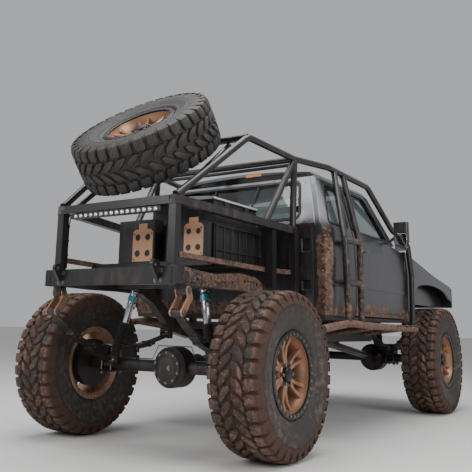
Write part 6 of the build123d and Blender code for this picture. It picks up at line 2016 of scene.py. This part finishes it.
def look(yaw, pitch, roll):
    """Camera axes from the angles of the photograph's view, in degrees."""
    y, p, r = (math.radians(v) for v in (yaw, pitch, roll))
    ahead = Vector((-math.sin(y) * math.cos(p), math.cos(y) * math.cos(p), math.sin(p)))
    right = ahead.cross(Z_AXIS).normalized()
    up = right.cross(ahead)
    right_rolled = right * math.cos(r) + up * math.sin(r)
    up_rolled = up * math.cos(r) - right * math.sin(r)
    return Matrix((right_rolled, up_rolled, -ahead)).transposed().to_4x4()


def link_new(name, data):
    obj = bpy.data.objects.new(name, data)
    bpy.context.scene.collection.objects.link(obj)
    return obj


def studio_floor(settings):
    clean("Floor", tuple(settings.floor), FLOOR_ROUGHNESS, depth=FLOOR_CLOUD_DEPTH)
    mesh = bpy.data.meshes.new("floor")
    wide = (-FLOOR_HALF, FLOOR_HALF)
    mesh.from_pydata([(x, y, 0) for x, y in rectangle(wide, wide)], [], [(0, 1, 2, 3)])
    mesh.materials.append(bpy.data.materials["Floor"])
    return link_new("floor", mesh)


def softbox(name, place, size, power):
    light = bpy.data.lights.new(name, "AREA")
    light.shape = "DISK"
    light.size = size
    light.energy = power
    obj = link_new(name, light)
    obj.location = place
    obj.rotation_euler = (LIGHT_AIM - Vector(place)).to_track_quat("-Z", "Y").to_euler()
    return obj


def studio_world():
    world = bpy.data.worlds.new("Studio")
    world.use_nodes = True
    background = world.node_tree.nodes["Background"].inputs
    background[0].default_value = SKY
    background[1].default_value = SKY_STRENGTH
    return world


def photo_camera(settings):
    lens = bpy.data.cameras.new("Photo view")
    lens.lens = settings.lens
    lens.sensor_width = SENSOR_WIDTH
    lens.shift_x, lens.shift_y = CAMERA_SHIFT
    lens.clip_end = VIEW_END
    camera = link_new("Photo view", lens)
    camera.matrix_world = Matrix.Translation(at(*CAMERA_PLACE)) @ look(*CAMERA_ANGLES)
    return camera


class TRAIL_OT_stage(bpy.types.Operator):
    """Set the floor, the studio light and the camera"""

    bl_idname = "trail.stage"
    bl_label = "Stage"

    def execute(self, context):
        settings = context.scene.trail_stage
        studio_floor(settings)
        [softbox(*row) for row in LIGHTS]
        context.scene.world = studio_world()
        context.scene.camera = photo_camera(settings)
        return {"FINISHED"}


class TRAIL_PT_sidebar(bpy.types.Panel):
    """Shows the settings and the buttons that build the pieces, in the 3D view's sidebar"""

    bl_idname = "TRAIL_PT_sidebar"
    bl_label = "Trail Pickup"
    bl_space_type = "VIEW_3D"
    bl_region_type = "UI"
    bl_category = "Trail Pickup"

    def draw(self, context):
        for group in (context.scene.trail_finish, context.scene.trail_tyre, context.scene.trail_stage):
            for name in group.__annotations__:
                self.layout.prop(group, name)
        for operator in OPERATORS:
            self.layout.operator(operator.bl_idname)


OPERATORS = (
    TRAIL_OT_materials,
    TRAIL_OT_tyres,
    TRAIL_OT_wheels,
    TRAIL_OT_chassis,
    TRAIL_OT_body,
    TRAIL_OT_lamps,
    TRAIL_OT_suspension,
    TRAIL_OT_welds,
    TRAIL_OT_doors,
    TRAIL_OT_hood,
    TRAIL_OT_glazing,
    TRAIL_OT_chest,
    TRAIL_OT_bed,
    TRAIL_OT_cabin,
    TRAIL_OT_seats,
    TRAIL_OT_mud,
    TRAIL_OT_stage,
)
CLASSES = (TrailFinishSettings, TrailTyreSettings, TrailStageSettings) + OPERATORS + (TRAIL_PT_sidebar,)


def register():
    for cls in CLASSES:
        bpy.utils.register_class(cls)
    bpy.types.Scene.trail_finish = PointerProperty(type=TrailFinishSettings)
    bpy.types.Scene.trail_tyre = PointerProperty(type=TrailTyreSettings)
    bpy.types.Scene.trail_stage = PointerProperty(type=TrailStageSettings)


def unregister():
    del bpy.types.Scene.trail_stage
    del bpy.types.Scene.trail_tyre
    del bpy.types.Scene.trail_finish
    for cls in reversed(CLASSES):
        bpy.utils.unregister_class(cls)


def main():
    register()
    bpy.ops.trail.materials()
    bpy.ops.trail.tyres()
    bpy.ops.trail.wheels()
    bpy.ops.trail.chassis()
    bpy.ops.trail.body()
    bpy.ops.trail.lamps()
    bpy.ops.trail.suspension()
    bpy.ops.trail.welds()
    bpy.ops.trail.doors()
    bpy.ops.trail.hood()
    bpy.ops.trail.glazing()
    bpy.ops.trail.chest()
    bpy.ops.trail.bed()
    bpy.ops.trail.cabin()
    bpy.ops.trail.seats()
    bpy.ops.trail.mud()
    bpy.ops.trail.stage()


if __name__ == "__main__":
    main()
